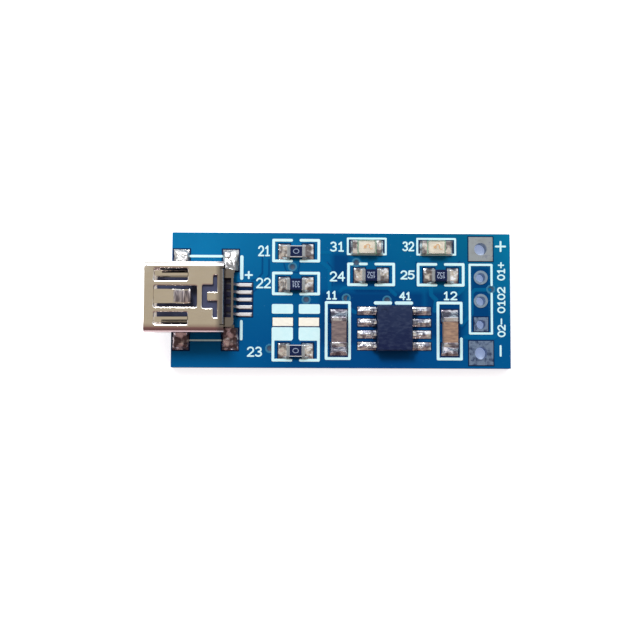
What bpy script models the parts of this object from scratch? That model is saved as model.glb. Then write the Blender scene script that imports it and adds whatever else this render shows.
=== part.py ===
"""Lithium battery charger module: a blue circuit board with a folded mini-USB receptacle.

Metres, +Z up. The origin is the centre of the board's underside. The receptacle's mouth looks
along -X, the wire pads are at the +X end, and every surface-mounted part stands on the top face.
"""
import math

import bmesh
import bpy
from mathutils import Matrix, Vector

MM = 0.001

# Fits: every piece that seats on or in another keeps this gap.
SEAT = 0.012 * MM
LAND = 0.05 * MM
MERGE_DISTANCE = SEAT / 100

# Board
BOARD_LENGTH = 36.65 * MM
BOARD_WIDTH = 14.63 * MM
BOARD_THICKNESS = 1.6 * MM
VIA_HOLE = 0.5 * MM

# Each via hole, set out from the middle of the part that it sits beside
VIA_OFFSETS = [
    ("resistor_1", -0.4 * MM, -1.65 * MM),
    ("resistor_2", 1.1 * MM, -1.61 * MM),
    ("resistor_3", -2.8 * MM, 0.25 * MM),
    ("capacitor_1", 0.8 * MM, 3.7 * MM),
    ("charger_chip", -0.77 * MM, 3.09 * MM),
    ("resistor_4", -1.6 * MM, 1.4 * MM),
    ("header_pad_2", 1.09 * MM, 1.27 * MM),
]

# Wire pads and header pads at the +X end
PAD_COLUMN_FROM_EDGE = 3.2 * MM
BATTERY_PAD_SIDE = 2.62 * MM
BATTERY_HOLE = 1.35 * MM
HEADER_PITCH = 2.54 * MM
HEADER_PAD = 1.52 * MM
HEADER_HOLE = 1.0 * MM
BARREL_WALL = 0.08 * MM

# The free width on both sides of a battery pad is shared in these parts.
GAP_HEADER_BATTERY = 1.04
GAP_BATTERY_EDGE = 0.355

# Folded shell of the receptacle
SHELL_OVERHANG = 2.45 * MM
SHELL_DEPTH = 9.3 * MM
SHELL_WIDTH = 7.5 * MM
SHELL_HEIGHT = 3.9 * MM
SHEET = 0.3 * MM
SHELL_LOWER_WIDTH = 6.2 * MM
WAIST_LOW = 1.25 * MM
WAIST_HIGH = 1.9 * MM
TOP_BEND = 0.55 * MM
LOW_BEND = 0.6 * MM
WAIST_BEND = 0.45 * MM
SEAM_GAP = 0.08 * MM
TOP_PLATE_LENGTH = 7.95 * MM
ROLL_RADIUS = 0.4 * MM
ROLL_APRON = 0.45 * MM
ROLL_SIDE_STEP = 0.75 * MM
ROLL_SIDE_GAP = 0.08 * MM
WING_HEIGHT = 2.4 * MM
WING_LENGTH = 1.0 * MM
WING_BEND = 0.5 * MM
STRAP_HEIGHT = 0.4 * MM
STRAP_SETBACK = 0.04 * MM
FLOOR_OPENING_MARGIN = 0.06 * MM

# Cut-outs stamped in the shell's top
CUT_START = 1.05 * MM
SLOT_CORNER = 0.16 * MM
SPRING_LENGTH = 3.55 * MM
SPRING_WINDOW = 1.25 * MM
SPRING_CENTRE = 2.3 * MM
SPRING_ARM = 0.3 * MM
SPRING_HEAD_LENGTH = 0.75 * MM
SPRING_HEAD_WIDTH = 0.58 * MM
SPRING_HEAD_GAP = 0.06 * MM
SPRING_DIP = 0.3 * MM
SPRING_ROOT_ROUNDING = 0.03 * MM
SPRING_HEAD_ROUNDING = 0.08 * MM
LATCH_WINDOW_LENGTH = 4.5 * MM
LATCH_WINDOW_WIDTH = 2.2 * MM
LATCH_WIDTH = 1.5 * MM
LATCH_LENGTH = 3.85 * MM
LATCH_BUMP_START = 2.0 * MM
LATCH_BUMP_DEPTH = 0.42 * MM

# The latch's formed bump: shares of its run, and of its depth at each
LATCH_PROFILE = ((0.22, 0.1), (0.42, 0.9), (0.55, 1.0), (0.68, 0.9), (0.88, 0.2), (1.0, 0.1))

# Hook-shaped slot behind the latch
BACK_SLOT_START = 6.1 * MM
BACK_SLOT_WIDTH = 0.5 * MM
BACK_SLOT_REACH = 1.65 * MM
BACK_TAB_WIDTH = 1.0 * MM
BACK_ARM_WIDTH = 0.7 * MM
BACK_EAR_SPAN = 4.4 * MM

# Solder tabs of the shell, and the lands under them
TAB_WIDTH = 1.0 * MM
TAB_REACH = 1.75 * MM
TAB_LAND_LENGTH = 1.75 * MM
TAB_LAND_MARGIN = 0.6 * MM
FRONT_TAB_FROM_MOUTH = 3.5 * MM
TAB_SPACING = 5.3 * MM
TAB_SOLDER_HEIGHT = 0.95 * MM
TAB_SOLDER_COVER = 0.07 * MM

# Insulator and contacts
HOUSING_START = 6.1 * MM
TONGUE_START = 1.2 * MM
TONGUE_WIDTH = 4.3 * MM
TONGUE_THICKNESS = 0.9 * MM
TONGUE_HEIGHT = 1.64 * MM
TONGUE_ROUNDING = 0.12 * MM
COMB_HEIGHT = 2.0 * MM
COMB_WIDTH = 4.6 * MM
COMB_CLEARANCE = 0.35 * MM
COMB_TOOTH_ROUNDING = 0.2 * MM
PEG_RADIUS = 0.42 * MM
PEG_HOLE_CLEARANCE = 0.05 * MM
PEG_SPACING = 4.0 * MM
PEG_FROM_HOUSING_FRONT = 1.1 * MM
PEG_LENGTH = 1.2 * MM
CONTACT_COUNT = 5
CONTACT_PITCH = 0.8 * MM
CONTACT_WIDTH = 0.28 * MM
CONTACT_THICKNESS = 0.15 * MM
CONTACT_TIP_SETBACK = 0.25 * MM
CONTACT_REAR_DROP = 0.7 * MM
CONTACT_FOOT = 1.35 * MM
CONTACT_BEND = 0.27 * MM
CONTACT_LAND_WIDTH = 0.4 * MM
CONTACT_LAND_TOE = 0.2 * MM
CONTACT_SOLDER_HEIGHT = 0.2 * MM

# Chip resistors, 0805 size
RESISTOR_LENGTH = 2.0 * MM
RESISTOR_WIDTH = 1.25 * MM
RESISTOR_HEIGHT = 0.45 * MM
RESISTOR_CAP = 0.34 * MM
RESISTOR_SOLDER_SPAN = 3.8 * MM
RESISTOR_SOLDER_WIDTH = 1.7 * MM
OVERCOAT_HEIGHT = 0.05 * MM
OVERCOAT_MARGIN = 0.08 * MM
OVERCOAT_ROUNDING = 0.02 * MM

# Chip capacitors, 1206 size
CAPACITOR_LENGTH = 3.2 * MM
CAPACITOR_WIDTH = 1.6 * MM
CAPACITOR_HEIGHT = 1.0 * MM
CAPACITOR_CAP = 0.5 * MM
CAPACITOR_SOLDER_SPAN = 5.05 * MM
CAPACITOR_SOLDER_WIDTH = 1.86 * MM
CAPACITOR_ROUNDING = 0.08 * MM

# Indicator lamps, 1206 size
LED_LENGTH = 3.1 * MM
LED_WIDTH = 1.45 * MM
LED_BASE_HEIGHT = 0.42 * MM
LED_LENS_LENGTH = 1.9 * MM
LED_LENS_HEIGHT = 0.62 * MM
LED_LENS_DRAFT = 0.09 * MM
LED_CAP = 0.55 * MM
LED_SOLDER_SPAN = 3.6 * MM
LED_SOLDER_WIDTH = 1.55 * MM

# Eight-lead charging chip
CHIP_BODY_X = 3.85 * MM
CHIP_BODY_Y = 4.9 * MM
CHIP_BODY_HEIGHT = 1.4 * MM
CHIP_STANDOFF = 0.18 * MM
CHIP_DRAFT = 0.12 * MM
CHIP_LEAD_SPAN = 6.2 * MM
CHIP_LAND_SPAN = 7.95 * MM
CHIP_LEAD_PITCH = 1.27 * MM
CHIP_LEAD_WIDTH = 0.42 * MM
CHIP_LEAD_THICKNESS = 0.2 * MM
CHIP_LEAD_FOOT = 0.62 * MM
CHIP_LAND_WIDTH = 0.85 * MM
CHIP_SOLDER_HEIGHT = 0.34 * MM
CHIP_HEEL_HEIGHT = 0.24 * MM
CHIP_SHOULDER = 0.28 * MM
CHIP_MARK_RADIUS = 0.38 * MM
CHIP_MARK_DEPTH = 0.06 * MM
CHIP_MARK_INSET = 0.8 * MM
CHIP_SIDE_LEADS = 4

# Solder: the metal skin over a chip part's end, and how steeply each kind of joint falls away
JOINT_SKIN = 0.03 * MM
RESISTOR_SLOPE = 1.25
CAPACITOR_SLOPE = 1.7
LED_SLOPE = 1.3
FLANK_SLOPE = 2
TAB_CLIMB_SLOPE = 3
TAB_TOE_SLOPE = 8
TAB_SIDE_SLOPE = 6
LEAD_TOE_SLOPE = 1.5
LEAD_FLANK_SLOPE = 1.4

# Layout along X: the free length between the columns is shared in these parts.
GAP_USB_RESISTORS = 2.37
GAP_RESISTORS_C1 = 1.2
GAP_C1_CHIP = 1.08
GAP_CHIP_C2 = 1.09
GAP_C2_PADS = 1.16
UPPER_LEFT_FROM_CHIP = 2.5 * MM
UPPER_RIGHT_FROM_C2 = 0.95 * MM
LED_LEFT_OF_RESISTOR = 0.47 * MM

# Layout along Y
RESISTOR_TOP_FROM_EDGE = 2.065 * MM
RESISTOR_BOTTOM_FROM_EDGE = 1.815 * MM
LED_FROM_EDGE = 1.565 * MM
LED_TO_RESISTOR = 3.05 * MM
CAPACITOR_END_FROM_EDGE = 1.315 * MM
CHIP_SIDE_FROM_EDGE = 1.815 * MM
SPARE_LAND_LENGTH = 2.2 * MM
SPARE_LAND_WIDTH = 0.92 * MM
SPARE_LAND_GAP = 0.62 * MM
SPARE_LAND_DROP = 0.45 * MM

# Fineness of arcs and round shapes
ARC_STEPS = 5
ROUND_STEPS = 24
PAD_STEPS = 32
PEG_STEPS = 20
VIA_STEPS = 12
LARGEST_MITRE = 0.7

TOP = BOARD_THICKNESS
LEFT_EDGE = -BOARD_LENGTH / 2
RIGHT_EDGE = BOARD_LENGTH / 2
MOUTH_X = LEFT_EDGE - SHELL_OVERHANG
SHELL_REAR_X = MOUTH_X + SHELL_DEPTH
SHELL_FLOOR_Z = TOP + LAND + SEAT
SHELL_TOP_Z = SHELL_FLOOR_Z + SHELL_HEIGHT
PLATE_END_X = MOUTH_X + TOP_PLATE_LENGTH
HOUSING_X = MOUTH_X + HOUSING_START
CONTACT_Z = SHELL_FLOOR_Z + TONGUE_HEIGHT
FOOT_START_X = SHELL_REAR_X + CONTACT_REAR_DROP - COMB_CLEARANCE
FOOT_END_X = FOOT_START_X + CONTACT_FOOT
SLOT_START_X = FOOT_START_X - CONTACT_REAR_DROP - 3 * CONTACT_THICKNESS
PAD_COLUMN_X = RIGHT_EDGE - PAD_COLUMN_FROM_EDGE


def new_collection(name):
    collection = bpy.data.collections.new(name)
    bpy.context.scene.collection.children.link(collection)
    return collection


def clear_scene():
    for obj in list(bpy.data.objects):
        bpy.data.objects.remove(obj, do_unlink=True)


clear_scene()
PARTS = new_collection("lithium_charger_module")
CUTTERS = new_collection("cutters")


def material(name, color, roughness, metallic=0.0):
    found = bpy.data.materials.new(name)
    found.use_nodes = True
    shader = found.node_tree.nodes["Principled BSDF"]
    shader.inputs["Base Color"].default_value = (*color, 1.0)
    shader.inputs["Roughness"].default_value = roughness
    shader.inputs["Metallic"].default_value = metallic
    found.diffuse_color = (*color, 1.0)
    return found


def add_object(name, mesh, parent, smooth=None):
    obj = bpy.data.objects.new(name, mesh)
    PARTS.objects.link(obj)
    obj.parent = parent
    if smooth is not None:
        mesh.shade_smooth()
        mesh.set_sharp_from_angle(angle=math.radians(smooth))
    return obj


def mesh_from(bm, name):
    bmesh.ops.recalc_face_normals(bm, faces=bm.faces)
    mesh = bpy.data.meshes.new(name)
    bm.to_mesh(mesh)
    bm.free()
    return mesh


def part(name, bm, look, parent, location=(0, 0, 0), turn=0.0, smooth=35):
    mesh = mesh_from(bm, name)
    mesh.materials.append(look)
    obj = add_object(name, mesh, parent, smooth)
    obj.location = location
    obj.rotation_euler.z = turn
    return obj


def helper(name, mesh, location=(0, 0, 0), turn=0.0):
    """An object that only cuts or joins another one."""
    obj = bpy.data.objects.new(name, mesh)
    CUTTERS.objects.link(obj)
    obj.location = location
    obj.rotation_euler.z = turn
    obj.hide_render = True
    obj.display_type = "WIRE"
    return obj


def combine(obj, other, operation="DIFFERENCE"):
    modifier = obj.modifiers.new(other.name, "BOOLEAN")
    modifier.operation = operation
    modifier.solver = "EXACT"
    modifier.object = other


def box(low, high):
    bm = bmesh.new()
    size = [b - a for a, b in zip(low, high)]
    centre = [(a + b) / 2 for a, b in zip(low, high)]
    matrix = Matrix.Translation(centre) @ Matrix.Diagonal((*size, 1.0))
    bmesh.ops.create_cube(bm, size=1.0, matrix=matrix)
    return bm


def rounded_box(low, high, radius, steps=2):
    bm = box(low, high)
    bmesh.ops.bevel(
        bm, geom=bm.edges[:], offset=radius, segments=steps, profile=0.5, affect="EDGES"
    )
    return bm


def cylinder(radius, z_low, z_high, x=0.0, y=0.0, steps=ROUND_STEPS):
    bm = bmesh.new()
    matrix = Matrix.Translation((x, y, (z_low + z_high) / 2))
    bmesh.ops.create_cone(
        bm,
        cap_ends=True,
        segments=steps,
        radius1=radius,
        radius2=radius,
        depth=z_high - z_low,
        matrix=matrix,
    )
    return bm


def rounded(corners, radii, closed=True, steps=ARC_STEPS):
    """The outline through these corners, each turned by an arc of its radius."""
    points = []
    count = len(corners)
    for index, corner in enumerate(corners):
        here = Vector(corner)
        if not closed and index in (0, count - 1):
            points.append(here)
            continue
        before = Vector(corners[index - 1]) - here
        after = Vector(corners[(index + 1) % count]) - here
        half = before.angle(after) / 2
        radius = radii[index] if isinstance(radii, (list, tuple)) else radii
        limit = 0.49 * min(before.length, after.length)
        reach = min(radius / math.tan(half), limit)
        radius = reach * math.tan(half)
        middle = (before.normalized() + after.normalized()).normalized()
        centre = here + middle * radius / math.sin(half)
        start = here + before.normalized() * reach - centre
        end = here + after.normalized() * reach - centre
        sweep = start.angle_signed(end)
        for step in range(steps + 1):
            turned = start.copy()
            turned.rotate(Matrix.Rotation(-sweep * step / steps, 2))
            points.append(centre + turned)
    return points


def plate_mesh(name, outline, z_low, z_high):
    """A flat outline filled and extruded from z_low to z_high, as a welded mesh."""
    curve = bpy.data.curves.new(name, "CURVE")
    curve.dimensions = "2D"
    curve.fill_mode = "BOTH"
    curve.extrude = (z_high - z_low) / 2
    spline = curve.splines.new("POLY")
    spline.points.add(len(outline) - 1)
    for point, place in zip(spline.points, outline):
        point.co = (place[0], place[1], 0.0, 1.0)
    spline.use_cyclic_u = True
    holder = bpy.data.objects.new(name, curve)
    CUTTERS.objects.link(holder)
    bpy.context.view_layer.update()
    evaluated = holder.evaluated_get(bpy.context.evaluated_depsgraph_get())
    mesh = bpy.data.meshes.new_from_object(evaluated)
    bpy.data.objects.remove(holder, do_unlink=True)
    bm = bmesh.new()
    bm.from_mesh(mesh)
    bmesh.ops.remove_doubles(bm, verts=bm.verts, dist=MERGE_DISTANCE)
    bmesh.ops.translate(bm, verts=bm.verts, vec=(0, 0, (z_low + z_high) / 2))
    bmesh.ops.recalc_face_normals(bm, faces=bm.faces)
    bm.to_mesh(mesh)
    bm.free()
    return mesh


def rectangle(x_low, x_high, y_low, y_high):
    return [(x_low, y_low), (x_high, y_low), (x_high, y_high), (x_low, y_high)]


def strip(path, width, thickness):
    """A bent strip: the path in X and Z, thickened both ways and extruded along Y."""
    path = [Vector(point) for point in path]
    upper = []
    lower = []
    for index, point in enumerate(path):
        before = path[max(index - 1, 0)]
        after = path[min(index + 1, len(path) - 1)]
        along = (after - before).normalized()
        first = (point - before).normalized() if index else along
        lean = thickness / 2 / max(first.dot(along), LARGEST_MITRE)
        normal = Vector((-along.y, along.x)) * lean
        upper.append(point + normal)
        lower.append(point - normal)
    bm = bmesh.new()
    outline = upper + lower[::-1]
    verts = [bm.verts.new((p.x, -width / 2, p.y)) for p in outline]
    face = bm.faces.new(verts)
    made = bmesh.ops.extrude_face_region(bm, geom=[face])
    moved = [item for item in made["geom"] if isinstance(item, bmesh.types.BMVert)]
    bmesh.ops.translate(bm, verts=moved, vec=(0, width, 0))
    return bm


def offset_corners(corners, inset):
    """The same open polyline moved to its right-hand side by inset."""
    corners = [Vector(corner) for corner in corners]
    lines = []
    for start, end in zip(corners, corners[1:]):
        along = (end - start).normalized()
        normal = Vector((along.y, -along.x))
        lines.append((start + normal * inset, along))
    moved = [lines[0][0]]
    for (p, a), (q, b) in zip(lines, lines[1:]):
        cross = a.x * b.y - a.y * b.x
        distance = ((q.x - p.x) * b.y - (q.y - p.y) * b.x) / cross
        moved.append(p + a * distance)
    last, along = lines[-1]
    moved.append(last + along * (corners[-1] - corners[-2]).length)
    return moved


def half_section(inset):
    """Right half of the receptacle's section in Y and Z, from its top to its floor."""
    low = SHELL_LOWER_WIDTH / 2
    wide = SHELL_WIDTH / 2
    corners = [
        (0, SHELL_TOP_Z),
        (wide, SHELL_TOP_Z),
        (wide, SHELL_FLOOR_Z + WAIST_HIGH),
        (low, SHELL_FLOOR_Z + WAIST_LOW),
        (low, SHELL_FLOOR_Z),
        (0, SHELL_FLOOR_Z),
    ]
    radii = [0, TOP_BEND - inset, WAIST_BEND - inset, WAIST_BEND + inset, LOW_BEND - inset, 0]
    radii = [max(radius, SHEET / 3) for radius in radii]
    half = rounded(offset_corners(corners, inset), radii, closed=False)
    half[0].x = 0
    half[-1].x = 0
    return half


def section_solid(name, inset, x_low, x_high):
    """The receptacle's section, inset all round and filled, from x_low to x_high."""
    half = half_section(inset)
    whole = half + [Vector((-p.x, p.y)) for p in half[-2:0:-1]]
    bm = bmesh.new()
    face = bm.faces.new([bm.verts.new((x_low, p.x, p.y)) for p in whole])
    made = bmesh.ops.extrude_face_region(bm, geom=[face])
    moved = [item for item in made["geom"] if isinstance(item, bmesh.types.BMVert)]
    bmesh.ops.translate(bm, verts=moved, vec=(x_high - x_low, 0, 0))
    return mesh_from(bm, name)


def folded_sheet(name):
    """The receptacle's wall: one open surface, folded round from seam to seam."""
    half = half_section(0)[:-1]
    seam = Vector((SEAM_GAP / 2, SHELL_FLOOR_Z))
    right = half + [seam]
    loop = [Vector((-p.x, p.y)) for p in right[::-1]] + right[1:]
    bm = bmesh.new()
    verts = [bm.verts.new((MOUTH_X, p.x, p.y)) for p in loop]
    edges = [bm.edges.new(pair) for pair in zip(verts, verts[1:])]
    made = bmesh.ops.extrude_edge_only(bm, edges=edges)
    moved = [item for item in made["geom"] if isinstance(item, bmesh.types.BMVert)]
    bmesh.ops.translate(bm, verts=moved, vec=(SHELL_DEPTH, 0, 0))
    bm.normal_update()
    middle = max(bm.faces, key=lambda face: face.calc_center_median().z)
    if middle.normal.z < 0:
        bmesh.ops.reverse_faces(bm, faces=bm.faces)
    mesh = bpy.data.meshes.new(name)
    bm.to_mesh(mesh)
    bm.free()
    return mesh


def side_spring_window():
    """Window round one contact spring, as corners in X from the mouth and Y."""
    start = MOUTH_X + CUT_START
    low = SPRING_CENTRE - SPRING_WINDOW / 2
    return rectangle(start, start + SPRING_LENGTH, low, low + SPRING_WINDOW)


def side_spring(name):
    """One contact spring: a thin arm rooted at the back with a wide head, sloping inwards."""
    start = MOUTH_X + CUT_START
    root = start + SPRING_LENGTH + SHEET
    head_low = SPRING_CENTRE - SPRING_ARM / 2
    head_high = head_low + SPRING_HEAD_WIDTH
    head_end = start + SPRING_HEAD_GAP + SPRING_HEAD_LENGTH
    corners = [
        (root, head_low),
        (root, head_low + SPRING_ARM),
        (head_end, head_low + SPRING_ARM),
        (head_end, head_high),
        (start + SPRING_HEAD_GAP, head_high),
        (start + SPRING_HEAD_GAP, head_low),
    ]
    outline = rounded(corners, [SPRING_ROOT_ROUNDING] * 2 + [SPRING_HEAD_ROUNDING] * 4)
    mesh = plate_mesh(name, outline, SHELL_TOP_Z - SHEET, SHELL_TOP_Z)
    slope = SPRING_DIP / (root - start)
    for vertex in mesh.vertices:
        vertex.co.z -= slope * (root - SHEET / 2 - vertex.co.x) + SEAT
    return mesh


def latch_tongue(name):
    """The sprung latch: rooted near the mouth, its free end formed down into a bump."""
    start = MOUTH_X + CUT_START
    middle = SHELL_TOP_Z - SHEET / 2 - SEAT
    bump = start + LATCH_BUMP_START
    run = start + LATCH_LENGTH - bump
    path = [(start - SHEET, middle), (bump, middle)]
    for along, down in LATCH_PROFILE:
        path.append((bump + along * run, middle - down * LATCH_BUMP_DEPTH))
    return mesh_from(strip(path, LATCH_WIDTH, SHEET), name)


def back_slot_outline():
    """The hook-shaped slot round the retaining tab, symmetric about the middle."""
    left = MOUTH_X + BACK_SLOT_START
    ear_high = left + BACK_SLOT_REACH
    ear_low = ear_high - BACK_SLOT_WIDTH
    channel = left + BACK_SLOT_WIDTH
    tab = BACK_TAB_WIDTH / 2
    arm = tab + BACK_ARM_WIDTH
    ear = BACK_EAR_SPAN / 2
    upper = [(left, arm), (ear_low, arm), (ear_low, ear)]
    upper += [(ear_high, ear), (ear_high, tab), (channel, tab)]
    return upper + [(x, -y) for x, y in upper[::-1]]


def rear_roll(name):
    """The top plate's rear edge, rolled down behind the insulator."""
    radius = ROLL_RADIUS - SHEET / 2
    middle = SHELL_TOP_Z - SHEET / 2
    path = [(PLATE_END_X - SHEET, middle)]
    for step in range(ARC_STEPS + 1):
        angle = math.pi / 2 * step / ARC_STEPS
        drop = radius - radius * math.cos(angle)
        path.append((PLATE_END_X + radius * math.sin(angle), middle - drop))
    path.append((PLATE_END_X + radius, middle - radius - ROLL_APRON))
    width = SHELL_WIDTH - 2 * (ROLL_SIDE_STEP + ROLL_SIDE_GAP)
    return mesh_from(strip(path, width, SHEET), name)


def rear_wing(name, side):
    """One lower side wall's rear end, carried up and folded in round the insulator's corner."""
    outer = SHELL_LOWER_WIDTH / 2 - SEAT
    start = PLATE_END_X + SHEET / 3
    corners = [
        (start, outer),
        (SHELL_REAR_X, outer),
        (SHELL_REAR_X, outer - WING_LENGTH),
        (SHELL_REAR_X - SHEET, outer - WING_LENGTH),
        (SHELL_REAR_X - SHEET, outer - SHEET),
        (start, outer - SHEET),
    ]
    edge = SHEET / 4
    radii = [edge, WING_BEND, edge, edge, WING_BEND - SHEET, edge]
    outline = [(p.x, side * p.y) for p in rounded(corners, radii)]
    low = SHELL_FLOOR_Z + WAIST_LOW - WAIST_BEND / 2 - SHEET
    return plate_mesh(name, outline, low, SHELL_FLOOR_Z + WING_HEIGHT)


def corner_plate(name, side):
    """The flat top that each wing bends in over the insulator's corner."""
    outer = SHELL_LOWER_WIDTH / 2 - 2 * SEAT
    inner = SHELL_LOWER_WIDTH / 2 - WING_LENGTH
    start = PLATE_END_X + SHEET / 2
    corners = rectangle(start, SHELL_REAR_X - SEAT, inner, outer)
    edge = SHEET / 4
    outline = [(p.x, side * p.y) for p in rounded(corners, [edge, edge, WING_BEND, edge])]
    top = SHELL_FLOOR_Z + WING_HEIGHT + SEAT
    return plate_mesh(name, outline, top - SHEET, top)


def rear_strap(name):
    """The narrow strap that joins both wings across the back, over the contacts."""
    half = SHELL_LOWER_WIDTH / 2 - WING_LENGTH + SHEET / 3
    top = SHELL_FLOOR_Z + WING_HEIGHT - SEAT
    low = (SHELL_REAR_X - SHEET + STRAP_SETBACK, -half, top - STRAP_HEIGHT)
    high = (SHELL_REAR_X - STRAP_SETBACK, half, top)
    return mesh_from(box(low, high), name)


def tab_places():
    """Centre of each solder tab along X with the side that it is on."""
    front = MOUTH_X + FRONT_TAB_FROM_MOUTH
    return [(x, side) for x in (front, front + TAB_SPACING) for side in (1, -1)]


def tab_box(name, x, side, grow=0.0):
    """One solder tab, bent out of the lower side wall and flat on its land."""
    inner = SHELL_LOWER_WIDTH / 2 - SHEET / 2
    outer = SHELL_LOWER_WIDTH / 2 + TAB_REACH + grow
    half = TAB_WIDTH / 2 + grow
    near, far = sorted((side * inner, side * outer))
    low = (x - half, near, SHELL_FLOOR_Z - grow)
    high = (x + half, far, SHELL_FLOOR_Z + SHEET + grow)
    return mesh_from(box(low, high), name)


def shell(parent):
    look = material("tinned_steel", (0.62, 0.56, 0.45), 0.32, 1.0)
    mesh = folded_sheet("usb_shell")
    mesh.materials.append(look)
    obj = add_object("usb_shell", mesh, parent, smooth=35)
    wall = obj.modifiers.new("wall", "SOLIDIFY")
    wall.thickness = SHEET
    wall.offset = -1.0
    wall.use_even_offset = True
    below = SHELL_TOP_Z - 3 * SHEET
    above = SHELL_TOP_Z + SHEET
    window = side_spring_window()
    latch_start = MOUTH_X + CUT_START
    latch = rectangle(
        latch_start,
        latch_start + LATCH_WINDOW_LENGTH,
        -LATCH_WINDOW_WIDTH / 2,
        LATCH_WINDOW_WIDTH / 2,
    )
    outlines = {
        "spring_window_right": window,
        "spring_window_left": [(x, -y) for x, y in window],
        "latch_window": latch,
        "retaining_slot": back_slot_outline(),
    }
    for name, corners in outlines.items():
        outline = rounded(corners, SLOT_CORNER)
        combine(obj, helper(name, plate_mesh(name, outline, below, above)))
    far = SHELL_REAR_X + SHEET
    roll_half = SHELL_WIDTH / 2 - ROLL_SIDE_STEP
    top_cut = box((PLATE_END_X, -roll_half, below), (far, roll_half, above))
    combine(obj, helper("roll_opening", mesh_from(top_cut, "roll_opening")))
    half = SHELL_WIDTH / 2 + SHEET
    wall_top = SHELL_FLOOR_Z + WAIST_LOW - WAIST_BEND / 2
    wall_cut = box((PLATE_END_X + ROLL_RADIUS, -half, wall_top), (far, half, above))
    combine(obj, helper("rear_opening", mesh_from(wall_cut, "rear_opening")))
    open_half = PEG_SPACING / 2 + PEG_RADIUS + FLOOR_OPENING_MARGIN
    floor_start = HOUSING_X + PEG_FROM_HOUSING_FRONT - PEG_RADIUS - FLOOR_OPENING_MARGIN
    floor_cut = box((floor_start, -open_half, TOP), (far, open_half, SHELL_FLOOR_Z + 2 * SHEET))
    combine(obj, helper("floor_opening", mesh_from(floor_cut, "floor_opening")))
    springs = side_spring("spring_right")
    other = springs.copy()
    other.transform(Matrix.Scale(-1, 4, (0, 1, 0)))
    other.flip_normals()
    joined = [springs, other, latch_tongue("latch"), rear_roll("rear_roll")]
    joined += [rear_wing("wing_right", 1), rear_wing("wing_left", -1)]
    joined += [corner_plate("corner_right", 1), corner_plate("corner_left", -1)]
    joined += [rear_strap("rear_strap")]
    joined += [tab_box("tab", x, side) for x, side in tab_places()]
    for index, added in enumerate(joined):
        combine(obj, helper("folded_%d" % index, added), "UNION")
    return obj


def contact_path():
    """One contact in X and Z: along the tongue, through the insulator, down and out to its foot."""
    foot = TOP + LAND + SEAT + CONTACT_THICKNESS / 2
    drop_start = FOOT_START_X - CONTACT_REAR_DROP
    tip = MOUTH_X + TONGUE_START + CONTACT_TIP_SETBACK
    corners = [
        (tip, CONTACT_Z),
        (drop_start, CONTACT_Z),
        (FOOT_START_X, foot),
        (FOOT_END_X, foot),
    ]
    return rounded(corners, CONTACT_BEND, closed=False, steps=4)


def contact_offsets():
    middle = (CONTACT_COUNT - 1) / 2
    return [(middle - index) * CONTACT_PITCH for index in range(CONTACT_COUNT)]


def contacts(parent):
    """The five bent contacts, each with the solder round its foot."""
    look = material("tinned_contact", (0.78, 0.76, 0.72), 0.25, 1.0)
    for index, y in enumerate(contact_offsets()):
        name = "usb_contact_%d" % (index + 1)
        bm = strip(contact_path(), CONTACT_WIDTH, CONTACT_THICKNESS)
        obj = part(name, bm, look, parent, (0, y, 0), smooth=50)
        start = FOOT_START_X + CONTACT_THICKNESS / 2
        solder = lead_solder(
            start,
            start,
            FOOT_END_X,
            FOOT_END_X + CONTACT_LAND_TOE,
            CONTACT_LAND_WIDTH,
            CONTACT_SOLDER_HEIGHT,
            CONTACT_SOLDER_HEIGHT,
        )
        mesh = mesh_from(solder, name + "_solder")
        combine(obj, helper(name + "_solder", mesh, (0, y, TOP)), "UNION")


def peg_places():
    x = HOUSING_X + PEG_FROM_HOUSING_FRONT
    return [(x, PEG_SPACING / 2), (x, -PEG_SPACING / 2)]


def comb_corners(front, rear, half_slot):
    """Corners and radii of the insulator's rear block: a rounded tooth between every two slots."""
    half = COMB_WIDTH / 2
    corners = [(front, half), (front, -half), (rear, -half)]
    radii = [SEAT, SEAT, COMB_TOOTH_ROUNDING]
    for y in reversed(contact_offsets()):
        low = y - half_slot
        high = y + half_slot
        corners += [(rear, low), (SLOT_START_X, low), (SLOT_START_X, high), (rear, high)]
        radii += [COMB_TOOTH_ROUNDING, SEAT, SEAT, COMB_TOOTH_ROUNDING]
    return corners + [(rear, half)], radii + [COMB_TOOTH_ROUNDING]


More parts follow.
